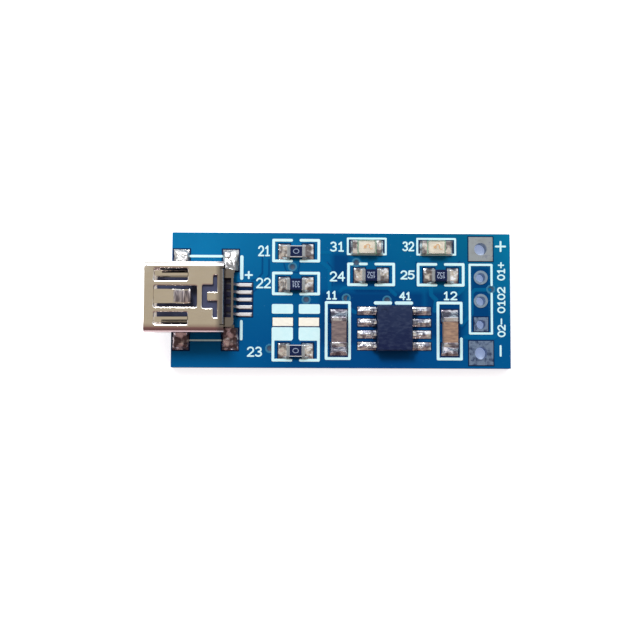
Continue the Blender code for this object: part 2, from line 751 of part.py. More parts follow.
def housing(parent):
    look = material("black_insulator", (0.02, 0.02, 0.03), 0.55)
    inner_x = PLATE_END_X - SEAT
    mesh = section_solid("usb_housing", SHEET + SEAT, HOUSING_X, inner_x)
    mesh.materials.append(look)
    obj = add_object("usb_housing", mesh, parent, smooth=35)
    half = CONTACT_WIDTH / 2 + SEAT
    comb = rounded(*comb_corners(inner_x - SHEET, SHELL_REAR_X - SHEET - SEAT, half))
    mesh = plate_mesh("comb", comb, SHELL_FLOOR_Z, SHELL_FLOOR_Z + COMB_HEIGHT)
    combine(obj, helper("comb", mesh), "UNION")
    tongue_low = CONTACT_Z - CONTACT_THICKNESS / 4
    tongue = rounded_box(
        (MOUTH_X + TONGUE_START, -TONGUE_WIDTH / 2, tongue_low),
        (HOUSING_X + SHEET, TONGUE_WIDTH / 2, tongue_low + TONGUE_THICKNESS),
        TONGUE_ROUNDING,
    )
    combine(obj, helper("tongue", mesh_from(tongue, "tongue")), "UNION")
    for index, (x, y) in enumerate(peg_places()):
        peg = cylinder(PEG_RADIUS, TOP - PEG_LENGTH, SHELL_FLOOR_Z + 2 * SHEET, x, y, PEG_STEPS)
        combine(obj, helper("peg_%d" % index, mesh_from(peg, "peg")), "UNION")
    low = CONTACT_Z - CONTACT_THICKNESS / 2 - SEAT
    high = CONTACT_Z + CONTACT_THICKNESS / 2 + SEAT
    for index, y in enumerate(contact_offsets()):
        groove = box(
            (MOUTH_X + TONGUE_START + CONTACT_TIP_SETBACK - SEAT, y - half, low),
            (SLOT_START_X + SHEET / 2, y + half, high),
        )
        combine(obj, helper("groove_%d" % index, mesh_from(groove, "groove")))
    return obj


def mound(stations, widths, height):
    """Solder on a land: a grid of sections, its top raised to height(x, y) over a flat base."""
    bm = bmesh.new()
    rows = [[bm.verts.new((x, y, height(x, y))) for y in widths] for x in stations]
    faces = []
    for near, far in zip(rows, rows[1:]):
        for a, b, c, d in zip(near, far, far[1:], near[1:]):
            faces.append(bm.faces.new((a, b, c, d)))
    made = bmesh.ops.extrude_face_region(bm, geom=faces)
    for item in made["geom"]:
        if isinstance(item, bmesh.types.BMVert):
            item.co.z = SEAT
    flat = [face for face in bm.faces if all(abs(v.co.z - SEAT) < SEAT / 10 for v in face.verts)]
    bmesh.ops.dissolve_faces(bm, faces=flat)
    return bm


def spread(low, high, count):
    return [low + (high - low) * index / count for index in range(count + 1)]


def share(value, low, high):
    """How far value lies from low to high, from 0 to 1."""
    return min(max((value - low) / (high - low), 0), 1)


def end_joint(length, width, height, cap, span, solder_width, slope):
    """One metallised end with its solder, for the +X end of a chip part at the origin."""
    end = length / 2
    edge = span / 2
    top = LAND + SEAT + height + JOINT_SKIN
    side = width / 2 + JOINT_SKIN
    shoulder = side - JOINT_SKIN / 2
    outer = solder_width / 2
    stations = [end - cap, end + JOINT_SKIN / 2] + spread(end + JOINT_SKIN, edge, 4)
    half = [0, shoulder, side] + spread(side, outer, 2)[1:]
    widths = [-y for y in half[:0:-1]] + half

    def surface(x, y):
        ridge = (1 - share(x, end, edge)) ** slope
        flank = (1 - share(abs(y), shoulder, outer)) ** FLANK_SLOPE
        return LAND + (top - LAND) * ridge * flank

    return mound(stations, widths, surface)


def lead_solder(heel, foot, toe, edge, width, heel_height, height):
    """Solder round a flat foot from heel to edge, tallest at the foot and falling past its toe."""
    outer = width / 2
    stations = sorted(set([heel, foot, toe] + spread(toe, edge, 3)))
    half = spread(0, outer, 3)
    widths = [-y for y in half[:0:-1]] + half

    def surface(x, y):
        rise = heel_height + (height - heel_height) * share(x, heel, foot + LAND)
        ridge = (1 - share(x, toe, edge)) ** LEAD_TOE_SLOPE
        flank = (1 - share(abs(y), 0, outer)) ** LEAD_FLANK_SLOPE
        return LAND + (rise - LAND) * ridge * flank

    return mound(stations, widths, surface)


def pocket(name, x, y, turn, length, width, height):
    """The room that a chip part's body takes in its two joints."""
    half_length = length / 2 + SEAT
    half_width = width / 2 + SEAT
    top = LAND + 2 * SEAT + height
    bm = box((-half_length, -half_width, LAND), (half_length, half_width, top))
    return helper(name, mesh_from(bm, name), (x, y, TOP), turn)


def end_joints(name, parent, look, x, y, turn, size, cap, span, solder_width, slope):
    """Both ends of a chip part, each cut to the body that it grips."""
    room = pocket(name + "_room", x, y, turn, *size)
    for letter, flip in (("a", 0.0), ("b", math.pi)):
        bm = end_joint(*size, cap, span, solder_width, slope)
        obj = part(name + "_terminal_" + letter, bm, look, parent, (x, y, TOP), turn + flip, 50)
        combine(obj, room)


def resistor(name, parent, looks, x, y):
    """A chip resistor: ceramic body with its dark overcoat, and two soldered ends."""
    half_length = RESISTOR_LENGTH / 2
    half_width = RESISTOR_WIDTH / 2
    low = LAND + SEAT
    bm = box((-half_length, -half_width, low), (half_length, half_width, low + RESISTOR_HEIGHT))
    coat_x = half_length - RESISTOR_CAP - SEAT
    coat_y = half_width - OVERCOAT_MARGIN
    body = part(name + "_body", bm, looks["ceramic"], parent, (x, y, TOP), smooth=30)
    coat = rounded_box(
        (-coat_x, -coat_y, low + RESISTOR_HEIGHT - OVERCOAT_HEIGHT),
        (coat_x, coat_y, low + RESISTOR_HEIGHT + OVERCOAT_HEIGHT),
        OVERCOAT_ROUNDING,
        1,
    )
    combine(body, helper(name + "_coat", mesh_from(coat, "coat"), (x, y, TOP)), "UNION")
    size = (RESISTOR_LENGTH, RESISTOR_WIDTH, RESISTOR_HEIGHT)
    joint = (RESISTOR_CAP, RESISTOR_SOLDER_SPAN, RESISTOR_SOLDER_WIDTH, RESISTOR_SLOPE)
    end_joints(name, parent, looks["solder"], x, y, 0.0, size, *joint)


def capacitor(name, parent, looks, x, y):
    """A chip capacitor standing along Y."""
    half_length = CAPACITOR_LENGTH / 2
    half_width = CAPACITOR_WIDTH / 2
    low = LAND + SEAT
    bm = rounded_box(
        (-half_length, -half_width, low),
        (half_length, half_width, low + CAPACITOR_HEIGHT),
        CAPACITOR_ROUNDING,
    )
    turn = math.pi / 2
    part(name + "_body", bm, looks["dielectric"], parent, (x, y, TOP), turn)
    size = (CAPACITOR_LENGTH, CAPACITOR_WIDTH, CAPACITOR_HEIGHT)
    joint = (CAPACITOR_CAP, CAPACITOR_SOLDER_SPAN, CAPACITOR_SOLDER_WIDTH, CAPACITOR_SLOPE)
    end_joints(name, parent, looks["solder"], x, y, turn, size, *joint)


def led(name, parent, looks, x, y):
    """An indicator lamp: substrate, moulded lens and two soldered ends."""
    half_length = LED_LENGTH / 2
    half_width = LED_WIDTH / 2
    low = LAND + SEAT
    bm = box((-half_length, -half_width, low), (half_length, half_width, low + LED_BASE_HEIGHT))
    part(name + "_base", bm, looks["substrate"], parent, (x, y, TOP))
    lens_low = low + LED_BASE_HEIGHT + SEAT
    lens_x = LED_LENS_LENGTH / 2
    lens_top = lens_low + LED_LENS_HEIGHT
    lens = box((-lens_x, -half_width, lens_low), (lens_x, half_width, lens_top))
    for vertex in lens.verts:
        if vertex.co.z > lens_low + LED_LENS_HEIGHT / 2:
            vertex.co.x -= math.copysign(LED_LENS_DRAFT, vertex.co.x)
            vertex.co.y -= math.copysign(LED_LENS_DRAFT / 2, vertex.co.y)
    above = [edge for edge in lens.edges if max(v.co.z for v in edge.verts) > lens_low + SEAT]
    bmesh.ops.bevel(
        lens, geom=above, offset=LED_LENS_DRAFT / 2, segments=2, profile=0.5, affect="EDGES"
    )
    part(name + "_lens", lens, looks["lens"], parent, (x, y, TOP))
    size = (LED_LENGTH, LED_WIDTH, LED_BASE_HEIGHT)
    joint = (LED_CAP, LED_SOLDER_SPAN, LED_SOLDER_WIDTH, LED_SLOPE)
    end_joints(name, parent, looks["solder"], x, y, 0.0, size, *joint)


def chip_body(parent, look, x, y):
    """The moulded package: two halves with draft that meet at the lead line, and a round mark."""
    low = SEAT + CHIP_STANDOFF
    middle = low + CHIP_BODY_HEIGHT / 2
    bm = box(
        (-CHIP_BODY_X / 2, -CHIP_BODY_Y / 2, low),
        (CHIP_BODY_X / 2, CHIP_BODY_Y / 2, low + CHIP_BODY_HEIGHT),
    )
    geom = bm.verts[:] + bm.edges[:] + bm.faces[:]
    bmesh.ops.bisect_plane(bm, geom=geom, plane_co=(0, 0, middle), plane_no=(0, 0, 1))
    for vertex in bm.verts:
        if abs(vertex.co.z - middle) > CHIP_BODY_HEIGHT / 4:
            vertex.co.x -= math.copysign(CHIP_DRAFT, vertex.co.x)
            vertex.co.y -= math.copysign(CHIP_DRAFT, vertex.co.y)
    body = part("charger_chip_body", bm, look, parent, (x, y, TOP), smooth=20)
    mark_x = -CHIP_BODY_X / 2 + CHIP_MARK_INSET
    mark_y = CHIP_BODY_Y / 2 - CHIP_MARK_INSET
    top = low + CHIP_BODY_HEIGHT
    mark = cylinder(CHIP_MARK_RADIUS, top - CHIP_MARK_DEPTH, top + CHIP_MARK_DEPTH, mark_x, mark_y)
    combine(body, helper("chip_mark", mesh_from(mark, "chip_mark"), (x, y, TOP)))
    return middle


def chip_lead(name, parent, look, x, y, side, middle):
    """One gull-wing lead: shoulder at the moulding line, slope and flat foot in its solder."""
    foot = LAND + SEAT + CHIP_LEAD_THICKNESS / 2
    start = CHIP_BODY_X / 2 + SEAT
    toe = CHIP_LEAD_SPAN / 2
    corners = [
        (start, middle),
        (start + CHIP_SHOULDER, middle),
        (toe - CHIP_LEAD_FOOT, foot),
        (toe, foot),
    ]
    path = rounded(corners, CHIP_LEAD_THICKNESS, closed=False, steps=3)
    turn = 0.0 if side > 0 else math.pi
    bm = strip(path, CHIP_LEAD_WIDTH, CHIP_LEAD_THICKNESS)
    obj = part(name, bm, look, parent, (x, y, TOP), turn, 50)
    solder = lead_solder(
        start + SEAT,
        toe - CHIP_LEAD_FOOT,
        toe,
        CHIP_LAND_SPAN / 2,
        CHIP_LAND_WIDTH,
        CHIP_HEEL_HEIGHT,
        CHIP_SOLDER_HEIGHT,
    )
    mesh = mesh_from(solder, name + "_solder")
    combine(obj, helper(name + "_solder", mesh, (x, y, TOP), turn), "UNION")


def chip(parent, looks, x, y):
    middle = chip_body(parent, looks["mould"], x, y)
    last = 2 * CHIP_SIDE_LEADS - 1
    for number in range(last + 1):
        side = -1 if number < CHIP_SIDE_LEADS else 1
        row = number if side < 0 else last - number
        lead_y = y + ((CHIP_SIDE_LEADS - 1) / 2 - row) * CHIP_LEAD_PITCH
        name = "charger_chip_lead_%d" % (number + 1)
        chip_lead(name, parent, looks["lead"], x, lead_y, side, middle)


def tab_solders(parent, look):
    """Solder over each of the shell's tabs, climbing the side wall."""
    inner = SHELL_LOWER_WIDTH / 2 + SEAT
    outer = SHELL_LOWER_WIDTH / 2 + TAB_REACH + TAB_LAND_MARGIN
    half_length = TAB_LAND_LENGTH / 2
    flat_top = LAND + SHEET + TAB_SOLDER_COVER

    def surface(x, y):
        across = share(abs(y), inner, outer)
        climb = (TAB_SOLDER_HEIGHT - flat_top) * (1 - across) ** TAB_CLIMB_SLOPE
        toe = 1 - across ** TAB_TOE_SLOPE
        side = 1 - (abs(x) / half_length) ** TAB_SIDE_SLOPE
        return LAND + (flat_top - LAND + climb) * toe * side

    for number, (x, side) in enumerate(tab_places()):
        stations = spread(-half_length, half_length, 10)
        widths = [side * y for y in spread(inner, outer, 8)]
        bm = mound(stations, widths, surface)
        name = "usb_tab_solder_%d" % (number + 1)
        obj = part(name, bm, look, parent, (x, 0, TOP), smooth=50)
        combine(obj, helper(name + "_room", tab_box(name + "_room", x, side, SEAT)))


def pad_places():
    """Name, place, size, hole and whether the pad is square, for each plated pad."""
    header_end = HEADER_PITCH + HEADER_PAD / 2
    free = BOARD_WIDTH / 2 - header_end - BATTERY_PAD_SIDE
    gap = free * GAP_HEADER_BATTERY / (GAP_HEADER_BATTERY + GAP_BATTERY_EDGE)
    battery_y = header_end + gap + BATTERY_PAD_SIDE / 2
    battery = (BATTERY_PAD_SIDE, BATTERY_HOLE, True)
    header = (HEADER_PAD, HEADER_HOLE)
    return [
        ("battery_plus_pad", battery_y, *battery),
        ("header_pad_1", HEADER_PITCH, *header, False),
        ("header_pad_2", 0.0, *header, False),
        ("header_pad_3", -HEADER_PITCH, *header, True),
        ("battery_minus_pad", -battery_y, *battery),
    ]


def pad_flange(side, square, low, high, grow=0.0):
    half = side / 2 + grow
    if square:
        return box((-half, -half, low), (half, half, high))
    return cylinder(half, low, high, steps=PAD_STEPS)


def plated_pads(parent, board, look):
    """Plated-through pads: a flange on the top face, a barrel, and a flange let into the underside."""
    for name, y, side, hole, square in pad_places():
        place = (PAD_COLUMN_X, y, 0)
        barrel = hole / 2 + BARREL_WALL
        bm = pad_flange(side, square, TOP + SEAT, TOP + SEAT + LAND)
        obj = part(name, bm, look, parent, place)
        tube = cylinder(barrel, LAND / 2, TOP + SEAT + LAND / 2)
        combine(obj, helper(name + "_barrel", mesh_from(tube, name), place), "UNION")
        lower = pad_flange(side, square, 0.0, LAND)
        combine(obj, helper(name + "_lower", mesh_from(lower, name), place), "UNION")
        bore = cylinder(hole / 2, -LAND, TOP + 3 * LAND)
        combine(obj, helper(name + "_bore", mesh_from(bore, name), place))
        recess = pad_flange(side, square, -LAND, LAND + SEAT, SEAT)
        combine(board, helper(name + "_recess", mesh_from(recess, name), place))
        drill = cylinder(barrel + SEAT, -LAND, TOP + LAND)
        combine(board, helper(name + "_drill", mesh_from(drill, name), place))


def columns():
    """Centre of every column along X, with the free length shared between them."""
    spare_span = SPARE_LAND_GAP + 2 * SPARE_LAND_LENGTH
    resistor_span = max(RESISTOR_SOLDER_SPAN, spare_span)
    widths = [resistor_span, CAPACITOR_SOLDER_WIDTH, CHIP_LAND_SPAN, CAPACITOR_SOLDER_WIDTH]
    gaps = [GAP_USB_RESISTORS, GAP_RESISTORS_C1, GAP_C1_CHIP, GAP_CHIP_C2, GAP_C2_PADS]
    free = PAD_COLUMN_X - BATTERY_PAD_SIDE / 2 - FOOT_END_X - sum(widths)
    centres = []
    x = FOOT_END_X
    for gap, width in zip(gaps, widths):
        x += free * gap / sum(gaps)
        centres.append(x + width / 2)
        x += width
    return centres


def part_places():
    """Centre of every surface-mounted part, of the place left unfitted and of the header."""
    resistor_x, first_x, chip_x, second_x = columns()
    top = BOARD_WIDTH / 2 - RESISTOR_TOP_FROM_EDGE
    bottom = -BOARD_WIDTH / 2 + RESISTOR_BOTTOM_FROM_EDGE
    rows = spread(top, bottom, 3)
    led_y = BOARD_WIDTH / 2 - LED_FROM_EDGE
    left_x = chip_x - UPPER_LEFT_FROM_CHIP
    right_x = second_x - UPPER_RIGHT_FROM_C2
    capacitor_y = -BOARD_WIDTH / 2 + CAPACITOR_END_FROM_EDGE + CAPACITOR_SOLDER_SPAN / 2
    return {
        "resistor_1": (resistor_x, rows[0]),
        "resistor_2": (resistor_x, rows[1]),
        "resistor_3": (resistor_x, rows[3]),
        "resistor_4": (left_x, led_y - LED_TO_RESISTOR),
        "resistor_5": (right_x, led_y - LED_TO_RESISTOR),
        "spare_land": (resistor_x, rows[2] - SPARE_LAND_DROP),
        "capacitor_1": (first_x, capacitor_y),
        "capacitor_2": (second_x, capacitor_y),
        "led_1": (left_x - LED_LEFT_OF_RESISTOR, led_y),
        "led_2": (right_x - LED_LEFT_OF_RESISTOR, led_y),
        "charger_chip": (chip_x, -BOARD_WIDTH / 2 + CHIP_SIDE_FROM_EDGE + CHIP_BODY_Y / 2),
        "header_pad_2": (PAD_COLUMN_X, 0.0),
    }


def spare_lands(parent, look, x, y):
    """The two tinned lands of the place that has no resistor."""
    for number, side in enumerate((-1, 1)):
        near = side * SPARE_LAND_GAP / 2
        far = side * (SPARE_LAND_GAP / 2 + SPARE_LAND_LENGTH)
        half = SPARE_LAND_WIDTH / 2
        low = (min(near, far), -half, SEAT)
        high = (max(near, far), half, SEAT + LAND)
        bm = rounded_box(low, high, LAND / 4, 1)
        part("spare_land_%d" % (number + 1), bm, look, parent, (x, y, TOP))


def circuit_board(parent, places):
    look = material("blue_solder_mask", (0.01, 0.13, 0.33), 0.35)
    low = (LEFT_EDGE, -BOARD_WIDTH / 2, 0)
    high = (RIGHT_EDGE, BOARD_WIDTH / 2, TOP)
    board = part("circuit_board", box(low, high), look, parent, smooth=30)
    for index, (x, y) in enumerate(peg_places()):
        hole = cylinder(PEG_RADIUS + PEG_HOLE_CLEARANCE, -LAND, TOP + LAND, x, y, PEG_STEPS)
        combine(board, helper("peg_hole_%d" % index, mesh_from(hole, "peg_hole")))
    for index, (beside, dx, dy) in enumerate(VIA_OFFSETS):
        x, y = places[beside]
        hole = cylinder(VIA_HOLE / 2, -LAND, TOP + LAND, x + dx, y + dy, VIA_STEPS)
        combine(board, helper("via_%d" % index, mesh_from(hole, "via")))
    return board


def looks_of_parts():
    """The materials that several parts share."""
    return {
        "ceramic": material("resistor_ceramic", (0.05, 0.05, 0.08), 0.45),
        "solder": material("solder", (0.75, 0.74, 0.7), 0.22, 1.0),
        "dielectric": material("capacitor_dielectric", (0.55, 0.33, 0.18), 0.5),
        "substrate": material("led_substrate", (0.25, 0.42, 0.3), 0.5),
        "lens": material("led_lens", (0.85, 0.78, 0.6), 0.2),
        "mould": material("chip_moulding", (0.02, 0.02, 0.035), 0.5),
        "lead": material("chip_lead", (0.75, 0.74, 0.72), 0.25, 1.0),
        "pad": material("plated_pad", (0.68, 0.66, 0.63), 0.35, 1.0),
    }


def build():
    root = bpy.data.objects.new("charger_module", None)
    PARTS.objects.link(root)
    places = part_places()
    looks = looks_of_parts()
    board = circuit_board(root, places)
    plated_pads(root, board, looks["pad"])
    shell(root)
    housing(root)
    contacts(root)
    tab_solders(root, looks["solder"])
    makers = {"resistor": resistor, "capacitor": capacitor, "led": led}
    for name, (x, y) in places.items():
        kind = name.rsplit("_", 1)[0]
        if kind in makers:
            makers[kind](name, root, looks, x, y)
    spare_lands(root, looks["solder"], *places["spare_land"])
    chip(root, looks, *places["charger_chip"])


build()
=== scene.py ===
"""Looks of the lithium battery charger module: solder mask, tracks, print, solder and metal.

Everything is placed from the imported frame, in metres. Sizes in this file are the real ones.
"""
import math

import bpy
from mathutils import Matrix, Vector, noise


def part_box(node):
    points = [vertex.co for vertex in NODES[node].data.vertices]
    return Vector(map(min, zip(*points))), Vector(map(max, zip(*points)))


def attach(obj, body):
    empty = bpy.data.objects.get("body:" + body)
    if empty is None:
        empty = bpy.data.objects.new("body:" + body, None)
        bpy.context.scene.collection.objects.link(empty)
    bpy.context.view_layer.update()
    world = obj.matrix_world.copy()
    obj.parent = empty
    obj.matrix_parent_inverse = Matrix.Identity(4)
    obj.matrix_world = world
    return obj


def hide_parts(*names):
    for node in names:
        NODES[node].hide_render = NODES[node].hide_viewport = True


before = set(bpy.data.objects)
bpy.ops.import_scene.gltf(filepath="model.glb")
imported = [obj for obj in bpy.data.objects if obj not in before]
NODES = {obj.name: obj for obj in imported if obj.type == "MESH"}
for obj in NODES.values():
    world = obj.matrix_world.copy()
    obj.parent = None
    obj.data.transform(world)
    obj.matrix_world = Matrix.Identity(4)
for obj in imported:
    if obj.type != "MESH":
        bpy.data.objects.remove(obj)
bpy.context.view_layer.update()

MM = 0.001
BOARD_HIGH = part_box("circuit_board")[1]
TOP = BOARD_HIGH.z
SHELL_LOW, SHELL_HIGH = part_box("usb_shell")
FOOT_LOW, FOOT_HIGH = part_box("usb_contact_3")


def middle_of(node):
    """Centre of a node's box."""
    low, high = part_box(node)
    return (low + high) / 2


# Places on the board are set out from the header's middle hole, which sits at this X in them
HEADER_X_IN_LAYOUT = 15.2 * MM
LAYOUT_X = middle_of("header_pad_2").x - HEADER_X_IN_LAYOUT

# The parts with a soldered end on each side: kind, number and the piece that the ends hold
CHIP_PARTS = [("resistor", number, "body") for number in range(1, 6)]
CHIP_PARTS += [("capacitor", number, "body") for number in (1, 2)]
CHIP_PARTS += [("led", number, "base") for number in (1, 2)]

# Heights above the board's top face
TRACK_HEIGHT = 0.018 * MM
MARGIN_HEIGHT = 0.022 * MM
PRINT_HEIGHT = 0.034 * MM
STEP_BETWEEN_STROKES = 0.0006 * MM
STROKE_LEVELS = 7

# Depth of the mask's blue at the board's faces, beyond which its edge shows laminate, in millimetres
MASK_SKIN = 0.08

# Y where the receptacle's top starts to bend down on its lower side
LOWER_BEND_Y = FOOT_LOW.y - 3.1 * MM

# X where its top plate rolls down at the rear
TOP_PLATE_END = SHELL_LOW.x + 7.95 * MM

# The latch's rubbed bump
LATCH_X = SHELL_LOW.x + 4.1 * MM
LATCH_HALF_X = 0.95 * MM
LATCH_HALF_Y = 0.62 * MM

# Y inside the slots of the side springs
SPRING_CUT_Y = 2.6 * MM

# How far a resistor's plated cap and its dark coat reach from the resistor's middle
PLATED_REACH = 0.98 * MM
COAT_REACH = 0.64 * MM

# The resistors whose coat also covers their sides
WIDE_COATS = (2, 4, 5)

# Widths of printed lines
BAR_LINE = 0.36 * MM
BRACKET_LINE = 0.3 * MM
EDGE_LINE = 0.27 * MM
HEADER_LINE = 0.24 * MM
OUTLINE_LINE = 0.21 * MM
SIGN_LINE = 0.2 * MM
TEXT_LINE = 0.17 * MM
SIDE_TEXT_LINE = 0.16 * MM


# Shader arithmetic

class Value:
    """One shader output that takes part in sums."""

    def __init__(self, finish, output):
        self.finish = finish
        self.output = output

    def maths(self, operation, first, second):
        return self.finish.node("ShaderNodeMath", {"operation": operation}, {0: first, 1: second})

    def __add__(self, other):
        return self.maths("ADD", self, other)

    def __sub__(self, other):
        return self.maths("SUBTRACT", self, other)

    def __rsub__(self, other):
        return self.maths("SUBTRACT", other, self)

    def __mul__(self, other):
        return self.maths("MULTIPLY", self, other)

    def __gt__(self, other):
        return self.maths("GREATER_THAN", self, other)

    def __lt__(self, other):
        return self.maths("LESS_THAN", self, other)

    def __abs__(self):
        return self.maths("ABSOLUTE", self, 0.0)


def set_stops(ramp, stops):
    """Sets a colour ramp's stops, each a position and a colour."""
    while len(ramp.elements) < len(stops):
        ramp.elements.new(0.5)
    for element, (position, color) in zip(ramp.elements, stops):
        element.position = position
        element.color = (*color, 1.0)


class Finish:
    """One procedural material on a Principled shader."""

    def __init__(self, name, roughness=0.5, metallic=0.0, **constants):
        self.material = bpy.data.materials.new(name)
        self.material.use_nodes = True
        self.tree = self.material.node_tree
        self.shader = self.tree.nodes["Principled BSDF"]
        self.shader.inputs["Roughness"].default_value = roughness
        self.shader.inputs["Metallic"].default_value = metallic
        for key, value in constants.items():
            self.shader.inputs[key.replace("_", " ").title().replace("Ior", "IOR")].default_value = value

    def node(self, kind, settings=None, sockets=None, output=0):
        """Adds a node: its settings first, then its sockets' values or links."""
        made = self.tree.nodes.new(kind)
        for key, value in (settings or {}).items():
            setattr(made, key, value)
        for key, value in (sockets or {}).items():
            if isinstance(value, Value):
                self.tree.links.new(value.output, made.inputs[key])
            else:
                made.inputs[key].default_value = value
        return Value(self, made.outputs[output])

    def place(self):
        """Object coordinates in millimetres."""
        raw = self.node("ShaderNodeTexCoord", output="Object")
        return self.node("ShaderNodeVectorMath", {"operation": "SCALE"}, {0: raw, "Scale": 1 / MM})

    def axes(self):
        split = self.node("ShaderNodeSeparateXYZ", sockets={0: self.place()})
        outputs = split.output.node.outputs
        return [Value(self, outputs[axis]) for axis in range(3)]

    def noise(self, scale, detail=3.0, roughness=0.5, stretch=None):
        """Noise per millimetre, drawn out along the axes whose factor in stretch is small."""
        place = self.place()
        if stretch:
            place = self.node("ShaderNodeVectorMath", {"operation": "MULTIPLY"}, {0: place, 1: stretch})
        sockets = {"Vector": place, "Scale": scale, "Detail": detail, "Roughness": roughness}
        return self.node("ShaderNodeTexNoise", sockets=sockets)

    def between(self, value, low, high, to_low=0.0, to_high=1.0):
        return self.node("ShaderNodeMapRange", sockets={0: value, 1: low, 2: high, 3: to_low, 4: to_high})

    def inside(self, value, half, edge):
        """1 within a half width on either side of zero, and 0 beyond it, across a soft edge."""
        return self.between(abs(value), half + edge, half - edge)

    def ramp(self, value, stops):
        made = self.node("ShaderNodeValToRGB", sockets={0: value})
        set_stops(made.output.node.color_ramp, stops)
        return made

    def mix(self, factor, *tones):
        first, second = [(*tone, 1.0) if isinstance(tone, tuple) else tone for tone in tones]
        return self.node("ShaderNodeMix", {"data_type": "RGBA"}, {0: factor, 6: first, 7: second}, 2)

    def feed(self, socket, value):
        self.tree.links.new(value.output, self.shader.inputs[socket])

    def color(self, value):
        self.feed("Base Color", value)

    def rough(self, value):
        self.feed("Roughness", value)

    def rough_by(self, pattern, low, high):
        """Roughness from low to high, by a noise."""
        self.rough(self.between(pattern, 0.3, 0.7, low, high))

    def bump(self, height, distance, strength):
        sockets = {"Height": height, "Distance": distance, "Strength": strength}
        self.feed("Normal", self.node("ShaderNodeBump", sockets=sockets))


# Finishes

# The mask's blue along the board's upper and lower edge, by share of the way from left to right. The upper
# tones are lighter as a painted sheen, the lower ones darker as painted shade
MASK_UPPER_SHEEN = [
    (0.0, (0.0030, 0.150, 0.345)),
    (0.39, (0.0005, 0.105, 0.272)),
    (0.63, (0.0005, 0.107, 0.256)),
    (0.86, (0.0010, 0.115, 0.235)),
    (1.0, (0.0015, 0.165, 0.320)),
]
MASK_LOWER_SHADE = [
    (0.0, (0.0004, 0.098, 0.285)),
    (0.30, (0.0003, 0.062, 0.207)),
    (0.64, (0.0003, 0.060, 0.225)),
    (1.0, (0.0005, 0.086, 0.250)),
]
MASK_OVER_COPPER = (0.0010, 0.150, 0.330)
MASK_BARE = (0.0002, 0.036, 0.150)
MASK_LEFT_X = -14.0
MASK_RIGHT_X = 18.0

# Areas without copper under the mask, as edges in X and Y of the layout, in millimetres. The second, round
# the chip, is bare laminate and also painted shade round the chip
BARE_AND_SHADED_AREAS = [
    (-0.9, 1.0, 1.7, 5.1),
    # Round the chip: bare laminate and painted shade
    (-2.2, 9.0, -4.8, 0.9),
    (1.4, 5.6, 0.6, 1.9),
    (9.2, 13.2, -4.0, 1.0),
    (14.1, 16.3, -3.3, 3.8),
]
BARE_EDGE = 0.35


def mask_tone(finish, copper=0.0, gap=0.0):
    """The mask's blue, with painted sheen towards the upper edge and painted shade towards the lower edge
    and round the chip. A share of copper lightens it, and a gap's share deepens it.
    """
    x, y, _ = finish.axes()
    x = x - LAYOUT_X / MM
    cloud = finish.noise(0.3, 3.0) - 0.5
    across = finish.between(x + cloud * 4.0, MASK_LEFT_X, MASK_RIGHT_X)
    # Painted light: lighter towards the upper edge, darker towards the lower edge
    down = finish.between(y + cloud * 5.0, 6.5, -5.0)
    tone = finish.mix(down, finish.ramp(across, MASK_UPPER_SHEEN), finish.ramp(across, MASK_LOWER_SHADE))
    bare = None
    for x_low, x_high, y_low, y_high in BARE_AND_SHADED_AREAS:
        half_x, half_y = (x_high - x_low) / 2, (y_high - y_low) / 2
        inside_x = finish.inside(x - (x_low + half_x), half_x, BARE_EDGE)
        inside_y = finish.inside(y - (y_low + half_y), half_y, BARE_EDGE)
        inside = inside_x * inside_y
        bare = inside if bare is None else bare.maths("MAXIMUM", bare, inside)
    grain = finish.noise(24.0, 2.0) - 0.5
    amount = bare * (0.8 - copper)
    amount = amount.maths("MAXIMUM", amount, gap)
    tone = finish.mix(amount + grain * 0.22 + 0.04, tone, MASK_BARE)
    dust = finish.between(finish.noise(5.5, 1.0), 0.76, 0.82)
    tone = finish.mix(dust * 0.35, tone, (0.10, 0.32, 0.45))
    return finish.mix(copper * 0.55, tone, MASK_OVER_COPPER)


def glazed(finish):
    """The mask's soft gloss and faintly wavy skin."""
    finish.rough_by(finish.noise(3.0), 0.30, 0.42)
    finish.bump(finish.noise(3.2, 1.0), 0.006 * MM, 0.6)
    return finish


def mask_finish(name, copper=0.0, gap=0.0):
    """Mask that is drawn over a copper run, or over a gap in the copper."""
    finish = Finish(name, 0.36, specular_ior_level=0.025)
    finish.color(mask_tone(finish, copper, gap))
    return glazed(finish)


def board_finish():
    """Mask on both faces, and the sawn laminate's layers on the edges, kept dark blue as painted shade."""
    finish = Finish("solder_mask", 0.36, specular_ior_level=0.025)
    _, _, z = finish.axes()
    tone = mask_tone(finish)
    layers = finish.noise(4.0, 4.0, 0.6, (0.5, 0.5, 5.0))
    # Painted shade: the edges' laminate is kept dark blue
    laminate = finish.ramp(
        layers,
        [(0.25, (0.001, 0.006, 0.020)), (0.5, (0.002, 0.012, 0.032)), (0.75, (0.010, 0.028, 0.050))],
    )
    skin = (z > TOP / MM - MASK_SKIN) + (z < MASK_SKIN)
    finish.color(finish.mix(skin, laminate, tone))
    return glazed(finish)


